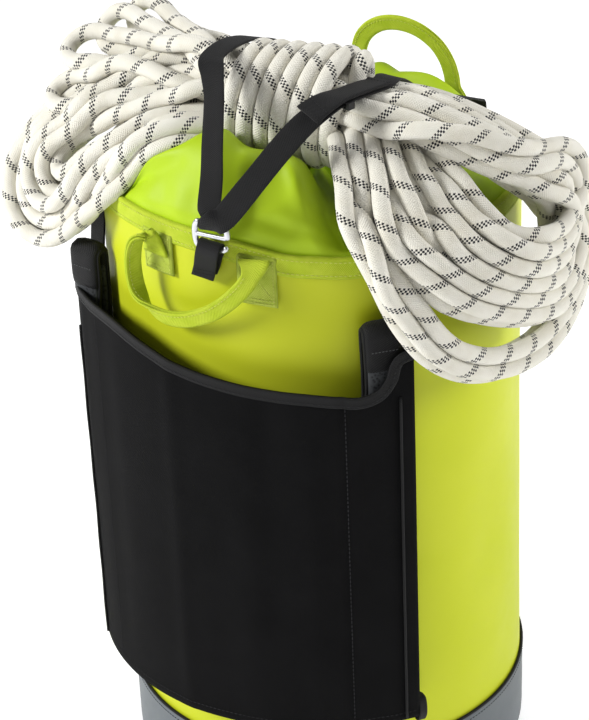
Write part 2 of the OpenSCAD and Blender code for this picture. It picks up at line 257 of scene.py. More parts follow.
def sweep(name, path, across, section, finish, *nodes, body="bag", closed=False, square=True):
    """A band: the section (x across, z up) carried along a path. Its ends are closed."""
    along = tangents(path)
    if closed:
        along = unit(np.roll(path, -1, 0) - np.roll(path, 1, 0))
    side = np.broadcast_to(np.asarray(across, float), path.shape)
    side = square_to(side, along) if square else unit(side)
    up = unit(np.cross(side, along))
    sec = np.asarray(section)
    if sec.ndim == 2:
        sec = np.broadcast_to(sec, (len(path),) + sec.shape)
    grid = path[:, None] + side[:, None] * sec[..., :1] + up[:, None] * sec[..., 1:]
    rows, cols = grid.shape[:2]
    u = lengths(path) * MM
    v = lengths(sec[rows // 2]) * MM
    uvs = grid_uvs(rows, cols, u, v, closed, True).reshape(-1, 2)
    if not closed:
        uvs = np.concatenate([uvs, [(0.0, 0.0)] * (2 * cols)])
    obj = solid_object(name, grid, tube_faces(rows, cols, closed), finish, uvs)
    return place(obj, body, finish, *nodes)


def solid_object(name, points, faces, finish, uvs=None):
    """A closed mesh with its faces turned outwards and its material."""
    obj = mesh_object(name, points, faces, uvs)
    face_outwards(obj)
    obj.data.materials.append(finish[0])
    return obj


def tube(name, path, radius, finish, *nodes, sides=10, closed=False):
    """A round tube along a path."""
    a = np.radians(np.arange(sides) * 360 / sides)
    section = np.stack([np.cos(a), np.sin(a)], -1) * radius
    across = frames(path)[0] if not closed else unit(np.cross(
        np.roll(path, -1, 0) - np.roll(path, 1, 0), [0, 0, 1.0]))
    return sweep(name, path, across, section, finish, *nodes, closed=closed)


def frames(path):
    """Two side directions along a path that never twist about it."""
    along = tangents(path)
    first = np.cross(along[0], [0, 0, 1.0])
    if np.linalg.norm(first) < 0.1:
        first = np.cross(along[0], [1.0, 0, 0])
    side = [unit(first)]
    for t in along[1:]:
        v = side[-1] - np.dot(side[-1], t) * t
        side.append(v / np.linalg.norm(v))
    side = np.array(side)
    return side, np.cross(along, side)


def on_wall(points):
    """A line for stitches: the points and their normals away from the bag's axis."""
    return points, points * [1, 1, 0]


def on_plane(points, normal):
    """A line for stitches on a flat piece, with one normal for all its points."""
    return points, np.broadcast_to(normal, points.shape)


def stitches(name, lines, finish, size=(3.2, 2.3, 0.42), body="bag"):
    """Raised stitches along lines of (points, outward normals). The size is pitch, length and radius."""
    pitch, length, radius = size
    lift = 0.15
    ring = np.array([[0, 0.6], [0.9, 0.0], [0, -0.2], [-0.9, 0.0]]) * radius
    points, faces = [], []
    for path, normals in lines:
        both = resample(np.concatenate([path, normals], 1), pitch)
        mid, out = both[:, :3], unit(both[:, 3:])
        along = tangents(mid)
        side = unit(np.cross(along, out))
        for m, n, t, s in zip(mid + out * lift, out, along, side):
            base = len(points)
            points += [m - t * length / 2 - n * radius * 0.5, m + t * length / 2 - n * radius * 0.5]
            for d in (-0.3, 0.3):
                points += [m + t * length * d + s * x + n * z for x, z in ring]
            a, b = base, base + 1
            for k in range(4):
                p, q = base + 2 + k, base + 2 + (k + 1) % 4
                faces += [[a, q, p], [p, q, q + 4, p + 4], [b, p + 4, q + 4]]
    return place(solid_object(name, points, faces, finish), body, finish)


# ---------------------------------------------------------------- materials

def srgb(r, g, b):
    """Linear colour from display values out of 255."""
    def lin(c):
        c = c / 255
        return c / 12.92 if c <= 0.04045 else ((c + 0.055) / 1.055) ** 2.4
    return (lin(r), lin(g), lin(b), 1.0)


class Finish:
    """A node material round one Principled shader."""

    def __init__(self, name, colour, rough, sheen=0.0, metallic=0.0, specular=0.5):
        self.mat = bpy.data.materials.new(name)
        self.mat.use_nodes = True
        self.mat.diffuse_color = colour
        self.tree = self.mat.node_tree
        self.shader = next(n for n in self.tree.nodes if n.type == "BSDF_PRINCIPLED")
        values = {"Base Color": colour, "Roughness": rough, "Metallic": metallic,
                  "Specular IOR Level": specular, "Sheen Weight": sheen}
        for key, value in values.items():
            self.shader.inputs[key].default_value = value
        self.colour = colour
        self.heights = []

    def node(self, kind, inputs=(), **settings):
        n = self.tree.nodes.new(kind)
        for key, value in settings.items():
            setattr(n, key, value)
        for key, value in dict(inputs).items():
            if isinstance(value, bpy.types.NodeSocket):
                self.tree.links.new(value, n.inputs[key])
            else:
                n.inputs[key].default_value = value
        return n

    def math(self, operation, a, b=0.0):
        return self.node("ShaderNodeMath", {0: a, 1: b}, operation=operation).outputs[0]

    def where(self):
        return self.node("ShaderNodeTexCoord").outputs["Object"]

    def uv(self):
        both = self.node("ShaderNodeTexCoord").outputs["UV"]
        parts = self.node("ShaderNodeSeparateXYZ", {0: both})
        return parts.outputs[0], parts.outputs[1]

    def noise(self, scale, detail=3.0):
        inputs = {"Vector": self.where(), "Scale": scale, "Detail": detail, "Roughness": 0.55}
        return self.node("ShaderNodeTexNoise", inputs).outputs["Fac"]

    def cells(self, scale):
        """Distance to the nearest point of a cell pattern."""
        inputs = {"Vector": self.where(), "Scale": scale}
        return self.node("ShaderNodeTexVoronoi", inputs).outputs["Distance"]

    def mix(self, fac, a, b):
        return self.node("ShaderNodeMix", {0: fac, 6: a, 7: b}, data_type="RGBA").outputs[2]

    def ramp(self, value, low, high):
        return self.node("ShaderNodeMapRange", {0: value, 1: low, 2: high}).outputs[0]

    def paint(self, colour):
        self.tree.links.new(colour, self.shader.inputs["Base Color"])

    def vary(self, other, scale=14.0, low=0.35, high=0.7):
        """Lets the colour drift towards another one in soft clouds."""
        self.paint(self.mix(self.ramp(self.noise(scale), low, high), self.colour, other))

    def gloss(self, low, high, scale=60.0):
        """Roughness that drifts between two values."""
        n = self.node("ShaderNodeMapRange", {0: self.noise(scale), 3: low, 4: high})
        self.tree.links.new(n.outputs[0], self.shader.inputs["Roughness"])

    def height(self, value, size, strength):
        """Adds one layer of bump relief, size millimetres high."""
        inputs = {"Height": value, "Distance": size * MM, "Strength": strength}
        if self.heights:
            inputs["Normal"] = self.heights[-1]
        n = self.node("ShaderNodeBump", inputs)
        self.heights.append(n.outputs[0])
        self.tree.links.new(n.outputs[0], self.shader.inputs["Normal"])

    def weave(self, pitch_u, pitch_v, size, strength):
        """Over and under relief of yarns, pitches in millimetres."""
        u, v = self.uv()
        a, b = [self.math("SINE", self.math("MULTIPLY", value, 2 * math.pi / (pitch * MM)))
                for value, pitch in ((u, pitch_u), (v, pitch_v))]
        self.height(self.math("MULTIPLY", a, b), size, strength)


def coated(name, colour, other, low, high):
    f = Finish(name, colour, 0.52, specular=0.22)
    f.vary(other, 9.0)
    f.gloss(low, high, 90.0)
    f.height(f.noise(900.0, 2.0), 0.10, 0.35)
    f.height(f.noise(22.0, 2.0), 0.9, 0.25)
    return f.mat


def web(name, colour, other, rough=0.75, pitch=(1.3, 1.9)):
    f = Finish(name, colour, rough, sheen=0.03, specular=0.25)
    f.vary(other, 120.0)
    f.height(f.noise(1400.0, 2.0), 0.15, 0.4)
    f.weave(pitch[0], pitch[1], 0.28, 0.7)
    return f.mat


def canvas(name, colour, other):
    f = Finish(name, colour, 0.84, sheen=0.01, specular=0.07)
    f.vary(other, 26.0, 0.3, 0.75)
    f.height(f.noise(16.0, 3.0), 2.2, 0.35)
    f.height(f.noise(1100.0, 2.0), 0.12, 0.4)
    f.weave(1.1, 1.1, 0.22, 0.6)
    return f.mat


def mesh_pad(name, colour, other):
    f = Finish(name, colour, 0.85, sheen=0.05, specular=0.2)
    cells = f.cells(420.0)
    f.paint(f.mix(f.ramp(cells, 0.1, 0.5), colour, other))
    f.height(cells, 0.5, 0.6)
    return f.mat


def plastic(name, colour):
    f = Finish(name, colour, 0.42, specular=0.5)
    f.gloss(0.36, 0.5, 300.0)
    f.height(f.noise(1500.0, 2.0), 0.06, 0.4)
    return f.mat


def metal(name, colour):
    f = Finish(name, colour, 0.28, metallic=1.0)
    f.vary(srgb(206, 208, 212), 60.0)
    f.gloss(0.22, 0.36, 700.0)
    f.height(f.noise(1200.0, 3.0), 0.04, 0.5)
    return f.mat


def foam(name, colour, other):
    f = Finish(name, colour, 0.9, specular=0.2)
    f.vary(other, 200.0)
    f.height(f.cells(900.0), 0.4, 0.6)
    return f.mat


def rope_finish():
    """Braided sheath: cream yarns and one spiral band of three black yarns."""
    around_count = 15
    pitch = 0.025
    f = Finish("rope_sheath", srgb(232, 229, 216), 0.82, sheen=0.3, specular=0.3)
    u, v = f.uv()
    turn = f.math("DIVIDE", v, pitch)
    a = f.math("MULTIPLY", f.math("ADD", u, turn), around_count)
    b = f.math("MULTIPLY", f.math("SUBTRACT", u, turn), around_count)
    cell_a, cell_b = f.math("FLOOR", a), f.math("FLOOR", b)
    in_band = f.math("LESS_THAN", f.math("FLOORED_MODULO", cell_a, around_count), 2.5)
    odd = f.math("FLOORED_MODULO", f.math("ADD", cell_a, cell_b), 2.0)
    black = f.math("MULTIPLY", in_band, f.math("LESS_THAN", odd, 0.5))
    cream = f.mix(f.noise(60.0), srgb(222, 217, 200), srgb(244, 242, 233))
    dirt = f.ramp(f.noise(25.0), 0.55, 0.8)
    cream = f.mix(f.math("MULTIPLY", dirt, 0.35), cream, srgb(196, 186, 160))
    f.paint(f.mix(black, cream, srgb(24, 25, 30)))
    ridge_a = f.math("SINE", f.math("MULTIPLY", f.math("FRACT", a), math.pi))
    ridge_b = f.math("SINE", f.math("MULTIPLY", f.math("FRACT", b), math.pi))
    f.height(f.math("MULTIPLY", ridge_a, ridge_b), 0.35, 0.9)
    f.height(f.noise(1500.0, 2.0), 0.2, 0.35)
    return f.mat


# Finishes: each is a material and the name of its slot. PLASTIC and FOAM go on CAD nodes and are
# materials only
LIME = coated("coated_lime", srgb(188, 198, 26), srgb(196, 204, 42), 0.42, 0.56), "coated_lime"
COLLAR = coated("collar_nylon", srgb(166, 196, 22), srgb(176, 204, 36), 0.44, 0.56), "collar_fabric"
LIME_WEB = web("lime_webbing", srgb(176, 196, 36), srgb(190, 206, 56)), "lime_webbing"
LIME_THREAD = web("lime_thread", srgb(206, 216, 110), srgb(196, 206, 90), pitch=(0.5, 0.5)), "lime_webbing"
BOOT = coated("boot_fabric", srgb(104, 110, 114), srgb(96, 101, 106), 0.42, 0.55), "boot_fabric"
CANVAS = canvas("black_canvas", srgb(11, 11, 12), srgb(16, 16, 17)), "black_canvas"
PATCH_WEB = web("lime_patch", srgb(172, 190, 60), srgb(190, 204, 84)), "lime_webbing"
BLACK_WEB = web("black_webbing", srgb(9, 9, 10), srgb(13, 13, 15), 0.66), "black_webbing"
BLACK_THREAD = web("black_thread", srgb(34, 34, 37), srgb(26, 26, 28), pitch=(0.5, 0.5)), "black_webbing"
GREY_THREAD = web("grey_thread", srgb(96, 98, 100), srgb(80, 82, 84), pitch=(0.5, 0.5)), "black_webbing"
PAD = mesh_pad("mesh_pad", srgb(28, 29, 31), srgb(58, 60, 62)), "mesh_pad"
PLASTIC = plastic("black_plastic", srgb(18, 18, 20))
METAL = metal("aluminium", srgb(196, 198, 203)), "aluminium"
FOAM = foam("foam_board", srgb(70, 72, 74), srgb(84, 86, 88))
ROPE = rope_finish(), "rope"
BOOT_THREAD = BLACK_THREAD[0], "boot_fabric"
CANVAS_THREAD = BLACK_THREAD[0], "black_canvas"
PAD_BINDING = BLACK_WEB[0], "mesh_pad"


# ---------------------------------------------------------------- camera, floor and light

def camera():
    """The photograph's viewing angle."""
    data = bpy.data.cameras.new("camera")
    data.sensor_fit = "AUTO"
    data.sensor_width = 36.0
    data.lens = 122.0
    data.clip_end = 50.0
    obj = bpy.data.objects.new("camera", data)
    azimuth, elevation, roll, distance = 30.0, 28.0, -2.5, 1.810
    e, a = math.radians(elevation), math.radians(azimuth)
    back = Vector((math.cos(e) * math.sin(a), -math.cos(e) * math.cos(a), math.sin(e)))
    side = Vector((math.cos(a), math.sin(a), 0.0))
    target = Vector((0.0, 0.0, 0.310)) + side * -0.0177
    turn = back.to_track_quat("Z", "Y").to_matrix().to_4x4()
    twist = turn.Rotation(math.radians(roll), 4, "Z")
    obj.matrix_world = turn @ twist
    obj.location = target + back * distance
    bpy.context.scene.collection.objects.link(obj)
    bpy.context.scene.camera = obj


def area_light(name, where, target, size, power):
    data = bpy.data.lights.new(name, "AREA")
    data.shape = "DISK"
    data.size = size
    data.energy = power
    obj = bpy.data.objects.new(name, data)
    obj.location = where
    aim = Vector(target) - Vector(where)
    obj.rotation_euler = aim.to_track_quat("-Z", "Y").to_euler()
    bpy.context.scene.collection.objects.link(obj)


def studio():
    """Plain pale floor and soft light."""
    span = 40.0
    f = Finish("floor_paint", (0.93, 0.93, 0.93, 1.0), 0.8, specular=0.1)
    f.shader.inputs["Emission Color"].default_value = WHITE
    f.shader.inputs["Emission Strength"].default_value = 0.36
    f.vary((0.95, 0.95, 0.95, 1.0), 0.5)
    points = [(-span, -span, 0), (span, -span, 0), (span, span, 0), (-span, span, 0)]
    floor = mesh_object("floor", np.array(points) / MM, [[0, 1, 2, 3]])
    floor.data.materials.append(f.mat)
    world = bpy.data.worlds.new("studio")
    world.use_nodes = True
    sky = world.node_tree.nodes["Background"]
    sky.inputs[0].default_value = WHITE
    sky.inputs[1].default_value = 0.24
    bpy.context.scene.world = world
    middle = (0.0, 0.0, 0.3)
    area_light("key_left", (-1.9, -1.8, 1.7), middle, 0.9, 84.0)
    area_light("fill_right", (2.2, 0.9, 1.3), middle, 1.2, 34.0)
    area_light("top_back", (0.2, 1.2, 2.8), middle, 1.6, 24.0)
    bpy.context.scene.view_settings.view_transform = "Standard"


# ---------------------------------------------------------------- rope

ROPE_D = 12.0
ROPE_STEP = 10.0
WRAP_MID = np.array([24.0, -55.5, 538.0])
WRAP_TURN = 10.0
WRAP_R = 36.5
TURNS = 7
AXIS = np.array([math.cos(math.radians(WRAP_TURN)), math.sin(math.radians(WRAP_TURN)), 0.0])
AXIS_BACK = np.array([-AXIS[1], AXIS[0], 0.0])
UP = np.array([0.0, 0.0, 1.0])

# Middle lines of the loops, from the outermost to the innermost
LEFT_OUTER = [
    (-45, -38, 566), (-90, -32, 562), (-130, -42, 545), (-165, -62, 515), (-190, -80, 485),
    (-198, -92, 460), (-186, -106, 436), (-160, -110, 424), (-135, -108, 436),
    (-115, -108, 465), (-95, -104, 492), (-60, -100, 516), (-30, -88, 520)
]
LEFT_INNER = [
    (-45, -66, 556), (-95, -72, 542), (-130, -82, 515), (-155, -92, 490), (-166, -98, 470),
    (-156, -104, 458), (-135, -104, 468), (-110, -102, 490), (-75, -98, 514), (-40, -90, 524)
]
LEFT_FAN = [
    [(-45, -66, 562), (-100, -62, 556), (-150, -60, 540), (-182, -62, 520), (-186, -74, 512),
     (-150, -76, 520), (-95, -80, 530), (-45, -80, 530)],
    [(-45, -58, 570), (-100, -50, 568), (-145, -42, 560), (-180, -42, 549), (-184, -52, 540),
     (-150, -56, 542), (-95, -66, 545), (-45, -70, 540)],
    [(-45, -45, 573), (-95, -38, 577), (-140, -28, 572), (-165, -22, 566), (-168, -30, 556),
     (-130, -38, 552), (-90, -42, 553), (-45, -50, 550)],
    [(-45, -35, 572), (-90, -22, 578), (-125, -10, 577), (-148, -4, 573), (-150, -12, 563),
     (-120, -18, 560), (-85, -30, 558), (-45, -42, 552)]
]
# As azimuth, radius and height
RIGHT_OUTER = [
    (78, 100, 540), (84, 140, 528), (92, 172, 500), (101, 184, 460), (104, 188, 425),
    (98, 188, 390), (84, 187, 370), (66, 186, 370), (53, 184, 390), (46.5, 178, 432),
    (43, 170, 472), (43, 150, 506), (45, 118, 525)
]
RIGHT_MIDDLE = [
    (66, 105, 548), (72, 140, 538), (82, 172, 508), (92, 190, 478), (99, 196, 452),
    (93, 197, 425), (78, 196, 420), (62, 192, 440), (51, 182, 470), (45, 165, 500),
    (46, 130, 525), (52, 105, 534)
]
RIGHT_INNER = [
    (60, 100, 556), (66, 140, 546), (76, 172, 522), (88, 192, 490), (95, 197, 470),
    (88, 200, 448), (74, 198, 455), (62, 186, 480), (55, 165, 508), (55, 130, 532)
]
# How far each loop lies between the outermost guide (0) and the innermost (1)
RIGHT_SPREAD = (0.0, 0.06, 0.13, 0.2, 0.40, 0.48, 0.56, 0.64, 0.72, 0.8, 0.88, 0.96, 1.06, 1.18, 1.3)
RIGHT_LIFT = (0, 9, -2, 8, 2, 12, 0, 10, 3, 11, 2, 12, 4, 12, 6)
LEFT_SPREAD = (0.0, 0.1, 0.21, 0.33, 0.46, 0.6, 0.74, 0.9, 1.06, 1.22)
LEFT_DEPTH = (0, -9, 4, -8, 4, -9, 4, -8, 3, -6)
STRAP_RIGHT = np.array([
    (26, -163, 499, 5), (41, -153, 520, 8), (54, -134, 541, 14), (64, -117, 555, 18),
    (73, -99, 562, 16), (79, -76, 561.5, 10), (82, -52, 558.5, 4), (81, -38, 557.5, -4),
    (76.5, -24, 554, -8), (73, -6, 546, -8), (71, 16, 532, -8), (68, 50, 509, -6),
    (65, 88, 494, -4), (62, 118, 484.5, -2), (61.5, 138, 476, 0), (61.5, 143.6, 473, 0),
    (61.5, 145, 466, 0)
], float)
STRAP_LEFT = np.array([
    (11, -158, 499.5, 0), (9, -149, 518, -4), (6, -141, 537, -10), (-1, -124, 563, -18),
    (-9, -111, 575, -20), (-18, -96, 579.5, -16), (-21, -68, 579, -4), (-27, -30, 569, 8),
    (-36, 20, 547, 10), (-47, 70, 518, 10), (-56, 108, 492, 6), (-61.5, 138, 476, 0),
    (-61.5, 143.6, 473, 0), (-61.5, 145, 466, 0)
], float)


# Points per span of a strap's dense line, and the part of that line which lies over the rope
STRAP_SPAN = 12
OVER_ROPE = slice(STRAP_SPAN * 3, 150, 3)
OVER_ROPE_AT_END = slice(STRAP_SPAN * 3, 156, 3)


def heading(degrees):
    """Level direction turned by an angle from +X."""
    h = np.radians(degrees)
    return np.stack([np.cos(h), np.sin(h), 0 * h], -1)


def strap_frame(strap):
    """Dense middle line of a load strap with its width and upward directions."""
    fine = dense_spline(strap, STRAP_SPAN)
    path = fine[:, :3]
    along = tangents(path)
    side = square_to(heading(fine[:, 3]), along)
    up = np.cross(side, along)
    up *= np.sign(up[len(up) // 2, 2])
    return path, side, up


def pass_places():
    """Places of the straight passes inside the wraps: upper ones and lower ones."""
    rows = ((21.0, [-15, -5, 5, 15]), (13.0, [-20, -10, 0, 10, 20]), (5.0, [-25, -15, -5, 5, 15, 25]))
    upper = [(x, z) for z, xs in rows for x in xs]
    lower = [(x, -z) for x, z in upper]
    upper.sort(key=lambda p: -p[0] + 0.2 * p[1])
    lower.sort(key=lambda p: p[0] - 0.2 * p[1])
    return upper, lower


def in_wraps(place, shift):
    """Point of a pass at a distance along the wraps."""
    return WRAP_MID + AXIS * shift + AXIS_BACK * place[0] + UP * place[1]


def between(a, b, t):
    """A loop between two guides."""
    a, b = spline(a, count=24), spline(b, count=24)
    return a + (b - a) * t


def right_loops():
    """The hanging loops, outermost first: a low family and a high one over it."""
    outer, middle, inner = [around(*np.array(g, float).T)
                            for g in (RIGHT_OUTER, RIGHT_MIDDLE, RIGHT_INNER)]
    loops = []
    for k, t in enumerate(RIGHT_SPREAD):
        split = 0.55
        loop = between(outer, middle, t / split) if t < split else between(
            middle, inner, (t - split) / (1 - split))
        lift = RIGHT_LIFT[k]
        out = unit(loop * [1, 1, 0])
        low = smooth(500, 470, loop[:, 2])[:, None]
        loops.append(loop + out * lift * low)
    return loops


def left_loops():
    """The bights that stand out on the left, outermost first, then the fan on top."""
    loops = []
    for t, depth in zip(LEFT_SPREAD, LEFT_DEPTH):
        loop = between(np.array(LEFT_OUTER, float), np.array(LEFT_INNER, float), t)
        loops.append(loop + np.array([0, depth, 0]) * bump(loop[:, :1], -150, 70))
    return loops + [spline(g, count=24) for g in LEFT_FAN]


def fan_out(loop, place_a, place_b):
    """Starts and ends a loop spread as its strands are inside the wraps."""
    t = np.linspace(0, 1, len(loop))[:, None]
    wide, tall, middle = 0.8, 0.6, 12
    first = AXIS_BACK * place_a[0] * wide + UP * (place_a[1] - middle) * tall
    last = AXIS_BACK * place_b[0] * wide + UP * (place_b[1] + middle) * tall
    return loop + (1 - smooth(0.0, 0.28, t)) * first + smooth(0.74, 1.0, t) * last


def wrap_turns(start):
    """The turns round the middle, each partly on the one before."""
    path = []
    steps = 24
    total = TURNS * steps
    phase = math.atan2(start[0], start[1])
    for k in range(total + 1):
        turn = k / steps
        a = phase + 2 * math.pi * turn
        top, front = math.cos(a), -math.sin(a)
        spacing = 11.7 + 0.6 * top
        centre = 4.5 + 4.0 * top - 4.0 * max(0.0, front)
        shift = centre + spacing * (turn - TURNS / 2)
        r = WRAP_R + (1.4 if int(turn) % 2 else -0.6) * (0.5 - 0.5 * top)
        path.append(WRAP_MID + AXIS * shift + AXIS_BACK * r * math.sin(a) + UP * r * math.cos(a))
    return path


def rope_route():
    """Control line of the whole rope, with 1 in its last column where it can't move."""
    upper, lower = pass_places()
    right, left = right_loops(), left_loops()
    reach = 30.0
    points, fixed = [], []

    def add(path, pinned):
        points.extend(path)
        fixed.extend([pinned] * len(path))

    add([in_wraps(upper[0], s) for s in (-26, -8, 12, reach)], True)
    for i, loop in enumerate(right):
        add(fan_out(loop, upper[i], lower[i]), False)
        add([in_wraps(lower[i], s) for s in (reach, 13, -13, -reach)], True)
        if i < len(left):
            add(fan_out(left[i], upper[i + 1], lower[i])[::-1], False)
            add([in_wraps(upper[i + 1], s) for s in (-reach, -13, 13, reach)], True)
    add([in_wraps((-24, -36), -44), in_wraps((-14, -44), -46)], False)
    turns = wrap_turns((-6.0, -WRAP_R))
    add(turns, True)
    last = turns[-1]
    add([last + AXIS * 8 + UP * 3, last + AXIS * 20 + UP * 9, last + AXIS * 36 + UP * 16], False)
    return np.concatenate([np.array(points), np.array(fixed, float)[:, None]], 1)


def collar_height(azimuth, radius):
    """Rough height of the collar for the rope to lie on, at an azimuth and a radius."""
    b = turn_of(azimuth)
    h = 12 + 33 * smooth(-50, -26, b) * (1 - smooth(12, 36, b)) + 10 * smooth(158, 175, np.abs(b))
    r_top = 146.9
    radii = np.array([30, r_top - 95, r_top - 74, r_top - 56, r_top - 41, r_top - 27,
                      r_top - 14, r_top - 5, r_top])
    share = np.array([0, 0.2, 0.4, 0.68, 0.95, 1.0, 0.85, 0.45, 0])
    extra = np.array([12, 6, 4, 0, 0, 0, 0, 0, 2])
    part = np.interp(radius, radii, share)
    more = np.interp(radius, radii, extra)
    return RIM_Z + part * h + more


def from_strap(points, strap):
    """Upward direction of a strap nearest to each point, and how far, high and wide of it the point is."""
    line, side, up = strap
    gap = points[:, None] - line[None]
    near = np.argmin(np.sum(gap ** 2, -1), 1)
    d = gap[np.arange(len(points)), near]
    high = np.sum(d * up[near], -1)
    wide = np.abs(np.sum(d * side[near], -1))
    return up[near], np.linalg.norm(d, axis=1), high, wide


def keep_clear(x, free, straps):
    """Moves free rope points out of the wall, up off the collar and down below the straps."""
    wall, wall_reach, collar_r, above_collar, below = 158.6, 144, 146, 8.0, 7.3
    ends = -199.0, 203.0
    radius = np.hypot(x[:, 0], x[:, 1])
    azimuth = np.degrees(np.arctan2(x[:, 0], -x[:, 1]))
    inside = free & (radius < wall) & (x[:, 2] < RIM_Z + 7)
    push = inside & (radius > wall_reach)
    scale = np.where(push, wall / np.maximum(radius, 1), 1.0)
    x[:, :2] *= scale[:, None]
    x[free, 0] = np.clip(x[free, 0], *ends)
    top = collar_height(azimuth, np.minimum(radius, collar_r)) + above_collar
    low = free & (radius <= BAG_R) & (x[:, 2] < top) & ~push
    x[low, 2] = top[low]
    for strap in straps:
        up, far, high, wide = from_strap(x, strap)
        hit = free & (far < 22) & (wide < 13) & (high > -below)
        x[hit] -= up[hit] * (high[hit] + below)[:, None]


def close_pairs(x, free):
    """Pairs of rope points near each other that aren't neighbours along the rope."""
    reach, along = 20.0, 5
    d2 = np.sum(x ** 2, 1)[:, None] + np.sum(x ** 2, 1)[None] - 2 * x @ x.T
    i, j = np.nonzero(np.triu(d2 < reach ** 2, along))
    keep = free[i] | free[j]
    return i[keep], j[keep]


def stay_open(x, weight):
    """Keeps the rope from folding up over short stretches."""
    for reach in (3, 4):
        d = x[reach:] - x[:-reach]
        dist = np.linalg.norm(d, axis=1)
        lack = np.maximum(0, 0.88 * reach * ROPE_STEP - dist)[:, None]
        shift = 0.2 * lack * unit(d)
        x[reach:] += shift * weight[reach:, None]
        x[:-reach] -= shift * weight[:-reach, None]


def push_apart(x, weight, pairs):
    """Moves strands that overlap one diameter apart, and draws close ones together a little."""
    touch, near = 12.15, 17.0
    i, j = pairs
    d = x[i] - x[j]
    dist = np.linalg.norm(d, axis=1)
    hit = dist < near
    i, j, d, dist = i[hit], j[hit], d[hit], dist[hit]
    total = np.maximum(weight[i] + weight[j], 1)
    pull = np.where(dist < touch, 0.55, 0.03)
    move = ((touch - dist) * pull / total)[:, None] * unit(d + 1e-6)
    for axis in range(3):
        x[:, axis] += np.bincount(i, move[:, axis] * weight[i], len(x))
        x[:, axis] -= np.bincount(j, move[:, axis] * weight[j], len(x))


def keep_length(x, weight):
    """Restores the even spacing of the points along the rope."""
    for parity in (0, 1, 0, 1):
        a = np.arange(parity, len(x) - 1, 2)
        d = x[a + 1] - x[a]
        dist = np.linalg.norm(d, axis=1)
        total = np.maximum(weight[a] + weight[a + 1], 1)
        fix = ((dist - ROPE_STEP) / np.maximum(dist, 1e-6) / total)[:, None] * d
        x[a] += fix * weight[a, None]
        x[a + 1] -= fix * weight[a + 1, None]


def relax(x, pinned, rounds):
    """Settles the rope: it keeps its length, bends softly and lies on itself."""
    free = ~pinned
    weight = free.astype(float)
    home = x.copy()
    straps = [tuple(a[OVER_ROPE] for a in strap_frame(s)) for s in (STRAP_RIGHT, STRAP_LEFT)]
    stay, bend, fall = 0.015, 0.24, [0, 0, 0.05]
    for k in range(rounds):
        if k % 8 == 0:
            pairs = close_pairs(x, free)
        x[free] += stay * (home[free] - x[free]) - fall
        mid = 0.5 * (x[:-2] + x[2:])
        x[1:-1] += bend * weight[1:-1, None] * (mid - x[1:-1])
        stay_open(x, weight)
        push_apart(x, weight, pairs)
        keep_clear(x, free, straps)
        keep_length(x, weight)
    return x


def ease_kinks(x, rounds=60):
    """Eases bends whose points stand about 2 mm or more off the middle of their neighbours."""
    for _ in range(rounds):
        gap = 0.5 * (x[:-2] + x[2:]) - x[1:-1]
        size = np.linalg.norm(gap, axis=1)
        spread = np.convolve(smooth(1.5, 2.6, size), [0.5, 1, 1, 1, 0.5], "same")
        x[1:-1] += 0.45 * np.minimum(1, spread)[:, None] * gap
    return x


def tuck_under(path):
    """A last soft push that keeps the rope's line below the straps."""
    below = 7.1
    for strap in (STRAP_RIGHT, STRAP_LEFT):
        up, far, high, wide = from_strap(path, [a[OVER_ROPE_AT_END] for a in strap_frame(strap)])
        hit = (far < 20) & (wide < 14) & (high > -below)
        push = np.where(hit, high + below, 0)
        for _ in range(24):
            push = np.maximum(push, np.convolve(push, [0.25, 0.5, 0.25], "same"))
        path = path - up * push[:, None]
    return path


def build_rope():
    """The rope as one tube with its sheath pattern."""
    dense = resample(dense_spline(rope_route(), 8), ROPE_STEP)
    x = relax(dense[:, :3].copy(), dense[:, 3] > 0.6, 160)
    path = resample(tuck_under(dense_spline(ease_kinks(x), 6)), 5.0)
    side, up = frames(path)
    sides = 14
    a = np.arange(sides) * 2 * math.pi / sides
    r = ROPE_D / 2 * (1 + 0.015 * np.sin(lengths(path) / 31.0))
    r[0], r[-1] = r[0] * 0.8, r[-1] * 0.8
    grid = path[:, None] + (side[:, None] * np.cos(a)[None, :, None]
                            + up[:, None] * np.sin(a)[None, :, None]) * r[:, None, None]
    rows = len(path)
    v = np.arange(sides) / sides
    uvs = grid_uvs(rows, sides, lengths(path) * MM, v, False, True).reshape(-1, 2)[:, ::-1]
    uvs = np.concatenate([uvs, [(0.5, 0.0)] * (2 * sides)])
    obj = solid_object("rope_12mm", grid, tube_faces(rows, sides), ROPE, uvs)
    place(obj, "bag", ROPE, "rope_wraps", "rope_left_lobe", "rope_right_lobe")
    return path


# ---------------------------------------------------------------- wall, boot and rim

RIM_WAVE = dense_spline([
    (-200, 0), (-150, 0), (-110, 0), (-75, 2), (-52, 6), (-38, 9), (-26, 10.5), (-10, 9.5),
    (0, 8), (8, 5), (14, 2), (22, -3), (30, -5), (39, -7), (55, -6), (75, -2), (100, 0),
    (150, 0), (200, 0)
])
DENTS = [(-22, 405, 13, 34, 1.6), (4, 415, 9, 26, 1.2), (27, 425, 12, 30, 2.2), (66, 330, 10, 70, 1.8),
         (83, 200, 9, 80, 2.0), (104, 300, 14, 70, 1.6), (130, 160, 12, 60, 2.2),
         (158, 340, 16, 60, 1.8), (186, 210, 13, 70, 2.4), (214, 330, 12, 60, 1.6),
         (240, 190, 14, 70, 2.2), (266, 330, 11, 70, 1.8), (291, 220, 10, 70, 2.0),
         (60, 120, 8, 40, 1.2), (96, 110, 9, 36, 1.4), (200, 110, 10, 34, 1.4)]


def rim_wave(azimuth):
    """How much higher than level the soft rim stands."""
    return np.interp(turn_of(azimuth), RIM_WAVE[:, 0], RIM_WAVE[:, 1])


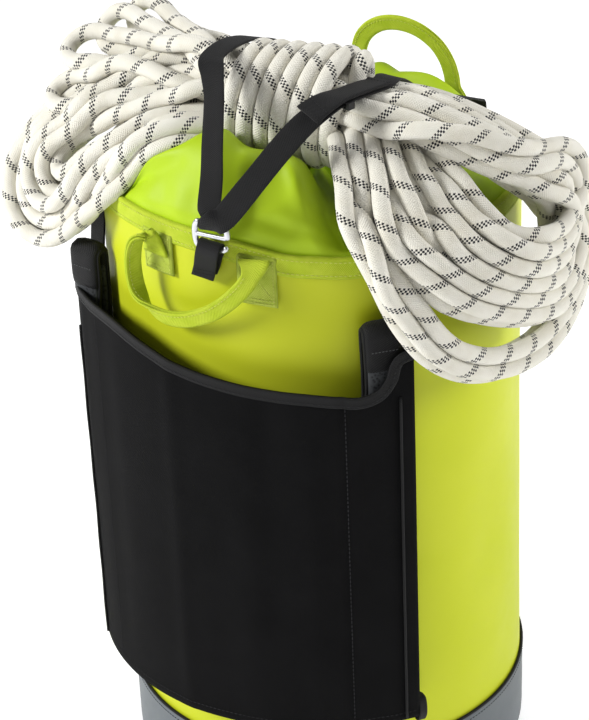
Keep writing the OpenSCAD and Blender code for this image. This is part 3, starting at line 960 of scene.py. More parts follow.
def wall_radius(azimuth, z):
    """Radius of the soft wall: fabric over whatever is inside."""
    dent = 0 * azimuth * z
    for az, height, wide, tall, deep in DENTS:
        dent = dent + deep * bump(turn_of(azimuth - az), 0, wide) * bump(z, height, tall)
    ripple = 0.5 * sin_deg(azimuth * 11 + z * 0.4) * bump(z, 92, 30)
    keep = smooth(60, 96, z) * (1 - smooth(438, 456, z))
    return BAG_R - 0.15 - (dent + 0.3 * (1 + ripple)) * keep


def wall():
    """The coated tube, its top following the wavy rim."""
    az = np.arange(0, 360, 2.0)[:, None]
    z = np.linspace(2.0, RIM_Z - 2.0, 96)[None, :]
    grid = around(az, wall_radius(az, z), z + rim_wave(az) * smooth(395, 468, z))
    skin("bag_wall", grid, LIME, "body_tube", wrap_rows=True, thick=1.5)


def boot():
    """The grey boot with its flat bottom, dark piping and one row of stitches."""
    az = np.arange(0, 360, 2.0)
    rise = np.array([0, 0.6, 2.2, 5, 9, 14, 20, 28, 36, 44, 52, 57, 60, BOOT_H])
    inset = np.array([5.0, 2.6, 1.0, 0.2, 0, 0, 0, 0, 0, 0, 0, 0, 0, 0])
    crease = 0.7 * sin_deg(az * 17)[:, None] * bump(rise, 12, 9)[None]
    crease = crease * (0.4 + 0.6 * sin_deg(az * 3)[:, None])
    r = BAG_R + 1.9 - inset[None] - np.abs(crease)
    side_grid = around(az[:, None], r, rise)
    floor_grid = around(az[:, None], np.array([1.0, 40, 80, 115, 135, 142]), 0.05)
    grid = np.concatenate([floor_grid, side_grid], 1)
    skin("boot", grid, BOOT, "base_boot", wrap_rows=True, thick=1.3)
    cord_az = np.arange(0, 360, 3.0)
    path = around(cord_az, BAG_R + 1.5 + 0.15 * sin_deg(cord_az * 9), BOOT_H + 1.4)
    tube("boot_edge_piping", path, 1.15, BLACK_WEB, "boot_piping", closed=True)
    row = on_wall(around(np.arange(0, 361, 2.0), BAG_R + 1.95, BOOT_H - 3.5))
    stitches("boot_stitches", [row], BOOT_THREAD)


def rim():
    """The folded band round the rim with two rows of stitches."""
    az = np.arange(0, 360, 1.5)
    top, low = RIM_Z, RIM_Z - RIM_H
    section = np.array([
        (BAG_R + 0.25, low + 0.2), (BAG_R + 1.0, low - 0.1), (BAG_R + 1.5, low + 0.9),
        (BAG_R + 1.35, low + 2.6), (BAG_R + 1.85, low + 5.5), (BAG_R + 1.9, low + 8.5),
        (BAG_R + 1.35, top - 3.2), (BAG_R + 1.75, top - 1.2), (BAG_R + 1.0, top - 0.1),
        (BAG_R - 0.6, top + 0.25), (BAG_R - 2.4, top - 0.3), (BAG_R - 3.1, top - 1.6),
        (BAG_R - 3.0, low + 3.0), (BAG_R - 1.9, low + 2.6), (BAG_R - 1.8, top - 1.7),
        (BAG_R + 0.2, top - 1.6)
    ])
    wave = rim_wave(az)[:, None]
    pucker = 0.16 * sin_deg(az * 57)[:, None]
    r = section[None, :, 0] + pucker * (section[None, :, 0] > BAG_R + 1.2)
    grid = around(az[:, None], r, section[None, :, 1] + wave)
    skin("rim_binding", grid, LIME_WEB, "rim_band", wrap_rows=True, wrap_cols=True,
         turn=face_outwards)
    a = np.arange(0, 361, 1.5)
    rows = [on_wall(around(a, BAG_R + 1.45, z + rim_wave(a))) for z in (low + 2.6, top - 3.2)]
    stitches("rim_stitches", rows, LIME_THREAD)


# ---------------------------------------------------------------- collar

# Creases of the collar as lines over the cloth: points of azimuth and share of the way to the
# mouth, the width in millimetres and the height, which is negative for a valley
CREASES = [
    ([(-50, 0.08), (-34, 0.20), (-22, 0.30), (-14, 0.42)], 5, 9.0),
    ([(-46, 0.05), (-30, 0.12), (-20, 0.19), (-12, 0.26)], 7, -7.0),
    ([(-44, 0.04), (-30, 0.07), (-14, 0.09), (-2, 0.10)], 5, 5.0),
    ([(-40, 0.30), (-28, 0.38), (-18, 0.47)], 7, -6.0),
    ([(-56, 0.10), (-44, 0.28), (-32, 0.42), (-22, 0.5)], 7, 6.0),
    ([(2, 0.16), (0, 0.35), (-2, 0.62)], 6, 6.0),
    ([(9, 0.12), (7, 0.30), (6, 0.5)], 9, -5.5),
    ([(31, 0.05), (28, 0.20), (23, 0.36), (14, 0.52)], 4.5, 9.0),
    ([(40, 0.05), (37, 0.22), (32, 0.38)], 9, -9.0),
    ([(46, 0.06), (44, 0.22)], 9, 6.0),
    ([(10, 0.085), (17, 0.12), (24, 0.11)], 3.2, 4.0), ([(13, 0.17), (20, 0.19), (26, 0.17)], 4, 3.6),
    ([(14, 0.14), (24, 0.145)], 3.2, -3.6), ([(-8, 0.07), (2, 0.085), (9, 0.075)], 3.4, 2.6),
    ([(158, 0.06), (166, 0.3), (172, 0.5)], 10, 6.0), ([(172, 0.07), (178, 0.4)], 12, -5.0),
    ([(187, 0.06), (184, 0.3), (182, 0.5)], 10, 6.0), ([(202, 0.08), (196, 0.4)], 12, -5.0),
    ([(216, 0.06), (208, 0.3), (200, 0.5)], 10, 5.0), ([(236, 0.1), (222, 0.42)], 12, -4.0),
    ([(120, 0.1), (136, 0.42)], 12, 4.0), ([(140, 0.08), (150, 0.4)], 12, -4.0)
]


def crease_relief(az, share, radius, depth):
    """Height of all the creases over the cloth, sharp along their lines."""
    steps = 14
    total = np.zeros(radius.shape)
    for line, wide, tall in CREASES:
        fine = spline(np.array([(a, b, 0) for a, b in line], float), count=steps)
        nearest = np.full(radius.shape, 1e9)
        end = np.zeros(radius.shape)
        for k, (a, b, _) in enumerate(fine):
            across = np.radians(turn_of(az[:, None] - a)) * radius
            d = np.hypot(across, (share[None] - b) * depth)
            end = np.where(d < nearest, k / (steps - 1), end)
            nearest = np.minimum(nearest, d)
        crest = np.exp(-np.sqrt((nearest / wide) ** 2 + 0.03) + 0.17)
        total += tall * crest * (0.55 + 0.45 * np.sin(np.pi * end))
    return total


def collar_shape():
    """Grid of the collar: a standing front, creases, and pleats towards its mouth."""
    az = np.arange(0, 360, 1.25)
    share = np.linspace(0, 1, 56)
    radii = np.array([147.6, 147.4, 146.2, 141.5, 132.5, 120, 106, 91, 73, 52, 38, 30])
    levels = np.array([-0.26, 0.0, 0.18, 0.5, 0.86, 1.0, 0.94, 0.7, 0.4, 0.2, 0.06, 0.0])
    lifts = np.array([0, 1.0, 1, 0, 0, 0, 0, 1, 3, 6, 9, 11.0])
    profile = spline(np.stack([radii, levels * 40, lifts], -1), count=len(share))
    b = turn_of(az)
    front = smooth(-54, -26, b) * (1 - smooth(25, 37, b))
    h = 13 + 38 * front + 12 * smooth(150, 175, np.abs(b))
    z = RIM_Z + profile[None, :, 1] / 40 * h[:, None] + profile[None, :, 2]
    z[:, :6] = np.minimum(z[:, :6], RIM_Z + 40)
    r = np.broadcast_to(profile[None, :, 0], z.shape).copy()
    wave = rim_wave(az)[:, None] * (1 - smooth(0.15, 0.6, share))[None]
    z = z + wave
    out = unit(np.stack([np.gradient(z, axis=1), -np.gradient(r, axis=1)], -1))
    ease = smooth(0.02, 0.10, share)[None]
    relief = crease_relief(az, share, r, 175.0) * ease
    relief += 9.0 * bump(b, -46, 7)[:, None] * bump(share, 0.09, 0.05)[None]
    z = z + 11.0 * (bump(b, -4, 15)[:, None] * bump(share, 0.46, 0.13)[None])
    gather = smooth(0.55, 0.85, share)[None]
    phase = 20 * sin_deg(az * 3) + 9 * sin_deg(az * 7 + 40)
    pleats = sin_deg(az * 22 + phase)[:, None]
    relief += (4.2 * pleats + 2.0 * sin_deg(az * 9 + 70)[:, None]) * gather
    small = sin_deg(az * 31 + 25 * sin_deg(az * 5))[:, None]
    relief += 0.8 * small * bump(share, 0.13, 0.06)[None]
    r = r + relief * out[..., 0]
    z = z + relief * out[..., 1]
    grid = around(az[:, None], r, z)
    inner = 0.25 * (np.roll(grid, 1, 0) + np.roll(grid, -1, 0))[:, 1:-1]
    grid[:, 1:-1] = inner + 0.25 * (grid[:, 2:] + grid[:, :-2])
    press_down(grid)
    return grid


def collar():
    """The collar as a gathered sheet, and the hem of its mouth."""
    obj = skin("collar_fabric", collar_shape(), COLLAR, "collar", wrap_rows=True,
               thick=0.7, offset=0.0, level=1)
    hem_az = np.arange(0, 360, 3.0)
    wavy = 1.6 * sin_deg(hem_az * 11) + 0.8 * sin_deg(hem_az * 17)
    path = around(hem_az, 25.5 + wavy, RIM_Z + 10.6 + 0.7 * np.cos(np.radians(hem_az * 11)))
    hem = tube("collar_mouth_hem", path, 3.4, LIME_WEB, "collar_hem", sides=12, closed=True)


def press_down(grid):
    """Lowers the collar where the rope lies on it, then softens it."""
    reach, gap, block, fixed_rows = 7.0, 0.6, 4000, 3
    keep = grid.copy()
    flat = grid.reshape(-1, 3)
    near = rope_path[(rope_path[:, 2] < 560) & (np.hypot(rope_path[:, 0], rope_path[:, 1]) < 160)]
    for start in range(0, len(flat), block):
        part = flat[start:start + block]
        d2 = np.sum((part[:, None, :2] - near[None, :, :2]) ** 2, -1)
        under = near[None, :, 2] - np.sqrt(np.maximum(0, reach ** 2 - d2)) - gap
        limit = np.where(d2 < reach ** 2, under, 1e9).min(1)
        part[:, 2] = np.minimum(part[:, 2], limit)
    drop = grid[..., 2] - keep[..., 2]
    for _ in range(6):
        wide = np.roll(drop, 1, 0) + np.roll(drop, -1, 0)
        wide[:, 1:-1] += drop[:, 2:] + drop[:, :-2]
        wide[:, 1:-1] /= 4
        wide[:, [0, -1]] /= 2
        drop = np.minimum(drop, wide)
    grid[..., 2] = keep[..., 2] + drop
    grid[:, :fixed_rows] = keep[:, :fixed_rows]


# ---------------------------------------------------------------- handles and patches

def folded_section(width, thick):
    """Webbing folded lengthwise: a round fold on one side and two open edges on the other."""
    h, t = width / 2, thick / 2
    top = [(h - 2.2, 0.02), (h - 0.5, 0.2 * t), (h, 0.55 * t), (h - 0.3, 0.95 * t), (h - 1.2, t),
           (h / 2, 0.9 * t), (0, 0.92 * t), (-h / 2, 0.97 * t), (-h + t, t), (-h + 0.35 * t, 0.7 * t),
           (-h, 0.02)]
    return np.array(top + [(x, -z) for x, z in reversed(top)][1:])


def loop_sections(count):
    """Sections of a handle that spread out flat at its feet."""
    width, thick, foot_wide, foot_thick, feet = 12.5, 3.6, 22.0, 2.6, 0.07
    t = np.linspace(0, 1, count)
    at_foot = 1 - smooth(0, feet, t) + smooth(1 - feet, 1, t)
    w = width + (foot_wide - width) * at_foot
    d = thick + (foot_thick - thick) * at_foot
    return np.array([folded_section(a, b) for a, b in zip(w, d)])


def handle(name, body, node, points, root=None):
    """A webbing handle along points given as place and direction of the open edge.

    Its end up to root stays sewn down on the bag while the rest swings.
    """
    fine = spline(np.array(points, float), 2.5)
    path, edge = fine[:, :3], fine[:, 3:]
    sections = loop_sections(len(path))
    start = 0
    if root is not None:
        start = int(np.argmin(np.linalg.norm(path - np.array(root), axis=-1)))
        sewn = slice(0, start + 2)
        sweep(name + "_root", path[sewn], edge[sewn], sections[sewn], LIME_WEB)
    sweep(name, path[start:], edge[start:], sections[start:], LIME_WEB, node, body=body)
    along = tangents(path)
    side = square_to(edge, along)
    up = np.cross(side, along)
    mid = slice(max(6, start + 1), -6)
    rows = [((path + side * 3.6 + s * up * 1.8)[mid], (s * up)[mid]) for s in (-1, 1)]
    stitches(name + "_stitches", rows, LIME_THREAD, (3.0, 2.1, 0.36), body)


def handles():
    front = [
        (-38, -149.8, 455, -1, 0.25, 0), (-38, -150.4, 462, -1, 0.2, 0),
        (-38.6, -153.5, 469, -0.95, -0.3, 0), (-42, -157.2, 471, -0.4, -0.9, 0),
        (-47, -158.8, 467, -0.45, -0.9, 0), (-51, -157.6, 456.5, -0.5, -0.86, 0),
        (-52.6, -156.4, 442, -0.5, -0.86, 0.05), (-50.0, -156.6, 428.5, -0.48, -0.75, 0.3),
        (-41.8, -158.5, 418.8, -0.35, -0.5, 0.75), (-28.6, -160.4, 413.8, -0.12, -0.3, 0.95),
        (-11, -161.8, 415.6, -0.2, -0.2, 0.97), (6.5, -161.6, 422.8, -0.42, -0.2, 0.9),
        (18.4, -160.4, 431, -0.55, -0.2, 0.8), (28.5, -158.6, 440.5, -0.68, -0.25, 0.7),
        (36, -156.2, 450, -0.8, -0.3, 0.5), (39, -152.8, 459, -0.97, -0.25, 0.15),
        (38.6, -150.0, 465.5, -1, -0.25, 0)
    ]
    handle("front_grip", "front_handle", "front_handle", front, root=(-38.6, -153.5, 469))
    lean = math.radians(15)
    rear = []
    half = [(38, -1, 1, 0), (38.5, 9, 1, 0), (38.5, 20, 1, 0.05), (36, 33, 0.95, 0.3),
            (29, 46, 0.75, 0.65), (16, 56, 0.4, 0.92)]
    mirrored = [(-x, h, -dx, dh) for x, h, dx, dh in half]
    for x, h, dx, dh in mirrored + [(0, 59.5, 0, 1)] + half[::-1]:
        rear.append((x, HINGE_Y + 0.9 - h * math.sin(lean), HINGE_Z + h * math.cos(lean),
                     dx, -dh * math.sin(lean), dh * math.cos(lean)))
    handle("rear_grip", "rear_handle", "rear_handle", rear)


def patch(name, node, azimuth, half, z0, z1, finish, thread, lift=0.0):
    """A sewn plate of webbing on the wall, with a box stitch."""
    r0 = BAG_R + 1.75
    az = azimuth + np.linspace(-half, half, 15)
    z = np.linspace(z0, z1, 17)
    edge = np.minimum(1, np.minimum((half - np.abs(az - azimuth))[:, None] / half * 6,
                                    np.minimum(z - z0, z1 - z)[None] / 2.5))
    quilt = 0.18 * np.sin(np.linspace(0, 9 * math.pi, 15))[:, None] * np.ones(17)
    r = r0 + 1.1 * edge + quilt * edge
    grid = around(az[:, None], r, z[None] + rim_wave(az)[:, None] * lift)
    skin(name, grid, finish, node, thick=1.2)
    rows = []
    a0, a1 = azimuth - half * 0.82, azimuth + half * 0.82
    b0, b1 = z0 + 2.4, z1 - 3.0
    for pa, pb in [((a0, b0), (a1, b0)), ((a0, b0 + 2.6), (a1, b0 + 2.6)), ((a0, b1), (a1, b1)),
                   ((a0, b0), (a0, b1)), ((a1, b0), (a1, b1)), ((a0, b0 + 3), (a1, b1)),
                   ((a1, b0 + 3), (a0, b1))]:
        t = np.linspace(0, 1, 12)
        a, b = pa[0] + (pb[0] - pa[0]) * t, pa[1] + (pb[1] - pa[1]) * t
        rows.append(on_wall(around(a, r0 + 1.2, b + rim_wave(a) * lift)))
    stitches(name + "_stitches", rows, thread, (2.6, 1.9, 0.36))


def patches():
    for side, tag, low in ((-1, "left", 435.5), (1, "right", 429.5)):
        patch("front_foot_" + tag, "front_patch_" + tag, side * 14.6, 5.2, low, 466,
              PATCH_WEB, LIME_THREAD, lift=0.45)
        patch("rear_foot_" + tag, "rear_patch_" + tag, 180 - side * 14.6, 5.2, 432, 466,
              BLACK_WEB, BLACK_THREAD)
        mid = 180 - side * math.degrees(math.asin(61.5 / BAG_R))
        patch("strap_foot_" + tag, "strap_anchor_" + tag, mid, 3.44, 430, 463,
              BLACK_WEB, BLACK_THREAD)


# ---------------------------------------------------------------- load strap, tab and hook

FINE_STITCH = (2.4, 1.8, 0.34)


def load_straps():
    """Both branches and their fold in the hook: one webbing, bunched a little where it turns."""
    right = STRAP_RIGHT[::-1]
    turn = np.array([
        (20.4, -165.6, 495.4, 4), (15.2, -165.1, 492.0, 1), (13.5, -163.2, 488.5, 0),
        (13.1, -160.2, 486.9, 0), (12.6, -156.6, 490.6, 0), (11.6, -156.8, 495.0, 0)
    ])
    fine = spline(np.concatenate([right, turn, STRAP_LEFT]), 3.0)
    from_hook = np.linalg.norm(fine[:, :3] - HOOK_MIDDLE - [0, 0, 8], axis=-1)
    widths = 17.6 - 1.5 * np.exp(-(from_hook / 10) ** 2)
    sections = np.array([web_section(wide, 1.7) for wide in widths])
    sweep("load_strap_webbing", fine[:, :3], heading(fine[:, 3]), sections, BLACK_WEB,
          "strap_right", "strap_left", "strap_fold", body="load_strap")
    doubler()


def doubler():
    """The doubled end of the right branch where it goes through the adjuster."""
    path, side, up = strap_frame(STRAP_RIGHT)
    span = slice(STRAP_SPAN * 3 + 1, STRAP_SPAN * 6 + 3)
    t = np.linspace(0, 1, span.stop - span.start)
    lift = 3.1 + 2.3 * (1 - smooth(0, 0.5, t))
    mid = path[span] + up[span] * lift[:, None]
    nose = 1 - smooth(0, 0.10, t)
    thick = 2.5 + 2.0 * nose
    thick[0] *= 0.55
    sections = np.array([web_section(19.6 + 0.6 * n, d) for n, d in zip(nose, thick)])
    sweep("adjuster_doubler", mid, side[span], sections, BLACK_WEB, "strap_doubler",
          body="adjuster")
    rows = []
    for k in (5, len(mid) - 4):
        x = np.linspace(-8.2, 8.2, 9)[:, None]
        p = mid[k] + side[span][k] * x + up[span][k] * thick[k] * 0.47
        rows.append(on_plane(p, up[span][k]))
    stitches("doubler_stitches", rows, BLACK_THREAD, FINE_STITCH, "adjuster")


def hook_tab():
    """The leaning loop of webbing at the front that the hook goes into."""
    x, lean, top = 12.4, -0.44, 473
    yz = [(-152.9, 451.5), (-153.2, 458), (-154.9, 464), (-156.2, 469.5), (-156.1, 474.5),
          (-158.4, 477.2), (-161.6, 477.2), (-164.0, 474.3), (-164.0, 469.5), (-161.0, 463),
          (-157.4, 456), (-155.4, 449.5), (-155.0, 447.2)]
    path = np.array([(x + lean * max(0, top - z), y, z) for y, z in yz])
    tilt = math.radians(7)
    sweep("hook_tab_webbing", spline(path, 2.0), [math.cos(tilt), 0, -math.sin(tilt)],
          web_section(17.2, 1.5), BLACK_WEB, "hook_tab", square=False)
    rows = []
    for z, y in ((451.0, -156.9), (454.0, -157.9)):
        c = x + lean * (top - z)
        p = np.array([(c + d, y, z) for d in np.linspace(-6.8, 6.8, 8)])
        rows.append(on_plane(p, [0, -1.0, 0.2]))
    stitches("tab_stitches", rows, BLACK_THREAD, FINE_STITCH)


def rod(path, wide, deep):
    """Mesh of one bar of the hook with round ends, wide across its plane and deep through it."""
    path = spline(np.array([(x, 0, z) for x, z in path], float), 0.8)
    flat = np.array([0.0, 1.0, 0.0])
    side = np.cross(tangents(path), flat)
    run = lengths(path)
    to_end = np.minimum(run, run[-1] - run) / wide
    shrink = np.sqrt(np.clip(1 - (1 - np.clip(to_end, 0.02, 1)) ** 2, 0, 1))[:, None, None]
    a = np.radians(np.arange(0, 360, 20))[None, :, None]
    c, d = squared_off(a, 0.8, 0.8)
    grid = path[:, None] + (side[:, None] * (c * wide) + flat * (d * deep)) * shrink
    return grid.reshape(-1, 3), tube_faces(*grid.shape[:2])


HOOK_MIDDLE = np.array([13.0, -160.0, 482.0])
# Bars of the hook: points across it and up, from its middle, and the half width
HOOK_BARS = [
    ([(-9.0, 9.1), (9.0, 9.1)], 1.85),
    ([(-12.2, 0.2), (12.0, 0)], 1.75),
    ([(-7.6, 9.6), (-10.2, 8.6), (-11.9, 5.6), (-12.4, 1), (-12.1, -3.5), (-11.0, -7.3),
      (-8.6, -9.0)], 2.15),
    ([(7.6, 9.6), (10.2, 8.6), (11.9, 5.6), (12.3, 1.6), (12.1, -1.2)], 2.15),
    ([(-9.0, -9.0), (7.6, -9.0), (10.4, -8.2), (11.7, -5.6)], 1.9)
]


def hook():
    """Forged ladder hook: two slots, the lower one open on its right, melted into one body."""
    points, faces = [], []
    for path, wide in HOOK_BARS:
        verts, quads = rod(path, wide, 1.65)
        start = sum(len(v) for v in points)
        points.append(verts + HOOK_MIDDLE)
        faces += [[k + start for k in f] for f in quads]
    obj = mesh_object("hook_forged", np.concatenate(points), faces)
    melt = obj.modifiers.new("Melt", "REMESH")
    melt.mode = "VOXEL"
    melt.voxel_size = 0.33 * MM
    fair = obj.modifiers.new("Fair", "SMOOTH")
    fair.factor = 0.5
    fair.iterations = 7
    solid = bpy.data.meshes.new_from_object(obj.evaluated_get(bpy.context.evaluated_depsgraph_get()))
    obj.modifiers.clear()
    obj.data = solid
    solid.polygons.foreach_set("use_smooth", [True] * len(solid.polygons))
    solid.materials.clear()
    solid.materials.append(METAL[0])
    place(obj, "hook", METAL, "hook")


def finish_node(name, material, radius):
    """Gives a carried-over node its material and rounded edges."""
    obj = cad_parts[name]
    for k in range(len(obj.material_slots)):
        obj.material_slots[k].material = material
    if not obj.material_slots:
        obj.data.materials.append(material)
    bevel = obj.modifiers.new("Edges", "BEVEL")
    bevel.width = radius * MM
    bevel.segments = 3
    bevel.limit_method = "ANGLE"
    bevel.angle_limit = math.radians(35)


def carried_nodes():
    finish_node("adjuster_frame", PLASTIC, 0.5)
    finish_node("ladder_lock_left", PLASTIC, 0.8)
    finish_node("ladder_lock_right", PLASTIC, 0.8)
    finish_node("base_panel", FOAM, 1.2)


# ---------------------------------------------------------------- cover and shoulder straps

COVER_TOP = np.array([
    (-150, 398), (-120, 400), (-98, 401), (-72, 401), (-42, 394), (-10, 386), (20, 381),
    (50, 377), (75, 375), (95, 372), (108, 370), (118, 374), (124, 384), (129, 399), (150, 402)
], float)
COVER_CURVE = dense_spline(COVER_TOP)
SEAM_AZIMUTH = 34.8
# Soft vertical folds of the cover: azimuth, width in degrees, depth, top and bottom
COVER_FOLDS = [(-44, 3.0, 1.4, 400, 250), (-31, 4.5, -1.3, 400, 120), (-7, 2.6, 1.5, 390, 100),
               (4, 5.0, -1.0, 300, 100), (17, 4.0, -1.4, 380, 160), (27, 3.0, 1.1, 330, 100),
               (40, 3.0, -0.9, 370, 100)]


def cover_top(azimuth):
    """Height of the cover's upper edge."""
    x = COVER_R * sin_deg(azimuth)
    return np.interp(x, COVER_CURVE[:, 0], COVER_CURVE[:, 1])


def cover_radius(azimuth, z):
    """Radius of the cover, which hangs in soft folds."""
    relief = 0 * azimuth * z
    for az, wide, deep, z1, z0 in COVER_FOLDS:
        reach = smooth(z0 - 30, z0 + 40, z) * (1 - smooth(z1 - 30, z1 + 20, z))
        relief = relief + deep * bump(azimuth, az, wide) * reach
    sag = 1.6 * bump(z, 330, 50) * bump(azimuth, 10, 26)
    slack = -2.2 * smooth(0.6, 1, (z - COVER_Z0) / 290) * bump(azimuth, 12, 16)
    seam = -0.8 * bump(azimuth, 34.2, 0.5)
    return COVER_R - 0.6 + relief + sag + slack + seam


def cover_seam(azimuth, z, proud):
    """A line for stitches on the cover."""
    return on_wall(around(azimuth, cover_radius(azimuth, z) + proud, z))


def cover():
    """The black panel over the harness, with its hem, seams, sides and bottom."""
    az = np.linspace(-COVER_HALF, COVER_HALF, 137)
    t = np.linspace(0, 1, 90)
    z = COVER_Z0 + t[None] * (cover_top(az)[:, None] - COVER_Z0)
    grid = around(az[:, None], cover_radius(az[:, None], z), z)
    panel = skin("cover_panel", grid, CANVAS, "cover_front", thick=1.2)
    edge = around(az, cover_radius(az, cover_top(az) - 4) + 0.5, cover_top(az) - 4)
    hem = sweep("cover_hem_band", edge, UP, web_section(8.4, 2.0), BLACK_WEB, "cover_hem")
    a = az[2:-2]
    low = COVER_Z0 + 6
    rows = [cover_seam(a, cover_top(a) - 6.0, 1.45)]
    for s in (SEAM_AZIMUTH, -SEAM_AZIMUTH):
        rows.append(cover_seam(s, np.linspace(low, float(cover_top(s)) - 10, 60), 0.05))
    rows.append(cover_seam(a, low + 0 * a, 0.05))
    threads = stitches("cover_stitches", rows, CANVAS_THREAD, (3.4, 2.4, 0.36))
    gussets = [cover_gusset(s) for s in (-1, 1)]
    cover_floor()


def cover_gusset(side):
    """Side panel of the cover, a little drawn in, with its piping."""
    tag = "left" if side < 0 else "right"
    t = np.linspace(0, 1, 9)[:, None]
    z = np.linspace(COVER_Z0 + 1.5, 397, 60)[None]
    r = BAG_R + 0.4 + t * (COVER_R - BAG_R - 2.4)
    dip = 1.1 * np.sin(np.pi * t) * (1 + 0.4 * np.sin(z / 23.0))
    az = side * (COVER_HALF - 0.25 - np.degrees(dip / 160) * 1.0)
    name = "cover_gusset_" + tag
    skin(name, around(az, r, z), CANVAS, "cover_side_" + tag,
         thick=1.0, offset=0.0, turn=None)
    z = np.arange(COVER_Z0 + 2, 369, 4.0)
    a = side * (COVER_HALF - 3.5)
    path = around(a, cover_radius(a, z) + 0.9 + 0.15 * np.sin(z / 9.0), z)
    piping = "cover_piping_" + tag
    tube(piping + "_cord", path, 1.0, BLACK_WEB, piping)
    return name


def cover_floor():
    az = np.linspace(-COVER_HALF, COVER_HALF, 69)[:, None]
    t = np.linspace(0, 1, 8)[None]
    r = BAG_R + 0.5 + t * (COVER_R - BAG_R - 2.2)
    z = COVER_Z0 + 0.9 + 0.5 * np.sin(np.pi * t) + 0.15 * sin_deg(az * 20) * t
    skin("cover_floor", around(az, r, z), CANVAS, "cover_bottom",
         thick=1.0, offset=0.0, turn=None)
    loop = np.array([(0, 11), (4, 14.5), (11, 15), (13.5, 9), (13, 1), (9, -5.2), (4, -5.2),
                     (1, 0), (0, 7)])
    path = around(COVER_HALF + 0.9, BAG_R + 9.5 + loop[:, 0], COVER_Z0 + loop[:, 1] - 1.5)
    across = around(COVER_HALF + 91, 1, 0)
    sweep("pull_tab_webbing", spline(path, 1.5), across, web_section(6.0, 1.1), BLACK_WEB, "cover_pull_tab")


def turned_top(path, across, centre, outward):
    """Turns the top of a folded shoulder pad about its upright middle line, as it slumps."""
    turn, shift = 34, 3.6
    rise = smooth(368, 412, path[:, 2])
    angle = np.radians(turn) * rise
    base = centre * [1, 1, 0]
    out = np.sum((path - base) * outward, -1, keepdims=True)
    along = np.sum((path - base) * across, -1, keepdims=True)
    c, s = np.cos(angle)[:, None], np.sin(angle)[:, None]
    new_out = outward * c + across * s
    new_across = across * c - outward * s
    moved = base + new_out * out + new_across * along + outward * shift * rise[:, None]
    moved[:, 2] = path[:, 2]
    return moved, new_across


def shoulder_sleeve(tag, path, across):
    """Smooth webbing sewn round the fold at the top of a shoulder pad."""
    across = np.broadcast_to(across, path.shape)
    middle = len(path) // 2
    span = slice(middle - 5, middle + 11)
    sections = np.array([pad_section(25.4, 9.6 - 0.5 * k) for k in np.abs(np.linspace(-1, 1, 16)) ** 6])
    sweep("shoulder_sleeve_" + tag, path[span], across[span], sections, BLACK_WEB)
    k = middle + 5
    out = unit(np.cross(across, tangents(path)))[k]
    out = out * np.sign(np.dot(out * [1, 1, 0], path[k] * [1, 1, 0]))
    p = path[k] + across[k] * np.linspace(-8.5, 8.5, 10)[:, None] + out * 4.9
    stitches("sleeve_stitches_" + tag, [on_plane(p, out)], GREY_THREAD, FINE_STITCH)


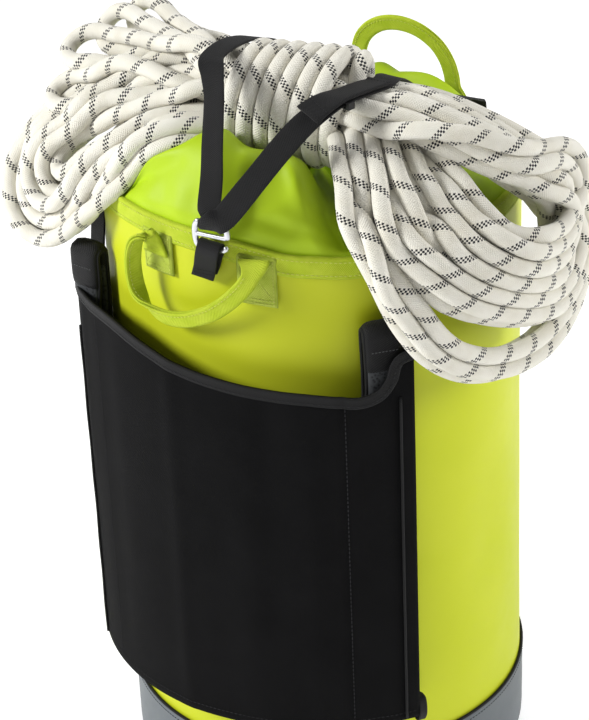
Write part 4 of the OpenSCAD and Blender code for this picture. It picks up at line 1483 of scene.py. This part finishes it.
def shoulder_strap(side):
    """A padded strap folded at its top, with its bindings, sleeve and webbing."""
    tag = "left" if side < 0 else "right"
    top = 434 if side < 0 else 418
    bottom = 152
    mid = side * 44.6
    r_in, r_out = BAG_R + 6.4, BAG_R + 15.0
    fold = (r_out - r_in) / 2
    a = np.radians(np.arange(180, -1, -20))
    turn = [((r_in + r_out) / 2 + fold * math.cos(t), top - fold - 3.1 + fold * math.sin(t)) for t in a]
    up = [(r_in, z) for z in np.linspace(bottom, top - 12, 16)]
    down = [(r_out, z) for z in np.linspace(top - 12, bottom, 16)]
    path = resample(around(mid, *np.array(up + turn + down).T), 3.0)
    across = around(mid + 90, 1, 0)
    path = path + across * 0.5 * np.sin(path[:, 2:] / 14.0)
    if side < 0:
        path, across = turned_top(path, across, around(mid, (r_in + r_out) / 2, 0), around(mid, 1, 0))
    soft = 8.0 + 0.35 * np.sin(np.arange(len(path)) * 0.9)
    sections = np.array([pad_section(24.5, d) for d in soft])
    obj = sweep("shoulder_pad_" + tag, path, across, sections, PAD, "shoulder_strap_" + tag)
    for s, word in ((-1, "inner"), (1, "outer")):
        name = "shoulder_binding_%s_%s" % (tag, word)
        tube(name, path + across * s * 12.4, 1.5, PAD_BINDING, sides=8)
    shoulder_sleeve(tag, path, across)
    shoulder_webbing(side, tag)


def shoulder_webbing(side, tag):
    """Flat webbing above a shoulder pad, up to its anchor, and below it."""
    z0, z1 = 380, 460
    height = np.linspace(z0, z1, 24)
    web_az = side * (52.5 if side < 0 else 49.5)
    web_path = around(web_az, BAG_R + 2.8 + 4.0 * (1 - smooth(z0 + 18, z1, height)), height)
    twist = 26 * smooth(z0, z0 + 30, height) if side < 0 else 0 * height
    sweep("shoulder_webbing_" + tag, web_path, around(web_az + 90 + twist, 1, 0), web_section(18.5, 1.5),
          BLACK_WEB, "shoulder_anchor_" + tag)
    low_az = side * 42.8
    low = around(low_az, BAG_R + 1.5, np.linspace(104.5, 149, 20))
    sweep("lower_strap_" + tag, low, around(low_az + 90, 1, 0), web_section(20.5, 1.5),
          BLACK_WEB, "lower_webbing_" + tag)


def back_pad():
    """Padded panel in five by six soft cells."""
    half, z0, z1 = 34, 112, 350
    az = np.linspace(-half, half, 91)[:, None]
    z = np.linspace(z0, z1, 120)[None]
    cell = np.abs(sin_deg((az + half) * 13.24)) * np.abs(np.sin((z - z0) / (z1 - z0) * np.pi * 6))
    edge = np.minimum(1, np.minimum((half - np.abs(az)) / 1.2, np.minimum(z - z0, z1 - z) / 4))
    r = BAG_R + 1.2 + edge * (1.6 + 1.8 * np.sqrt(cell))
    obj = skin("harness_pad", around(az, r, z), PAD, "back_pad", thick=0.9)


# ---------------------------------------------------------------- everything

camera()
studio()
rope_path = build_rope()
wall()
boot()
rim()
collar()
handles()
patches()
load_straps()
hook_tab()
hook()
carried_nodes()
cover()
for strap_side in (-1, 1):
    shoulder_strap(strap_side)
back_pad()
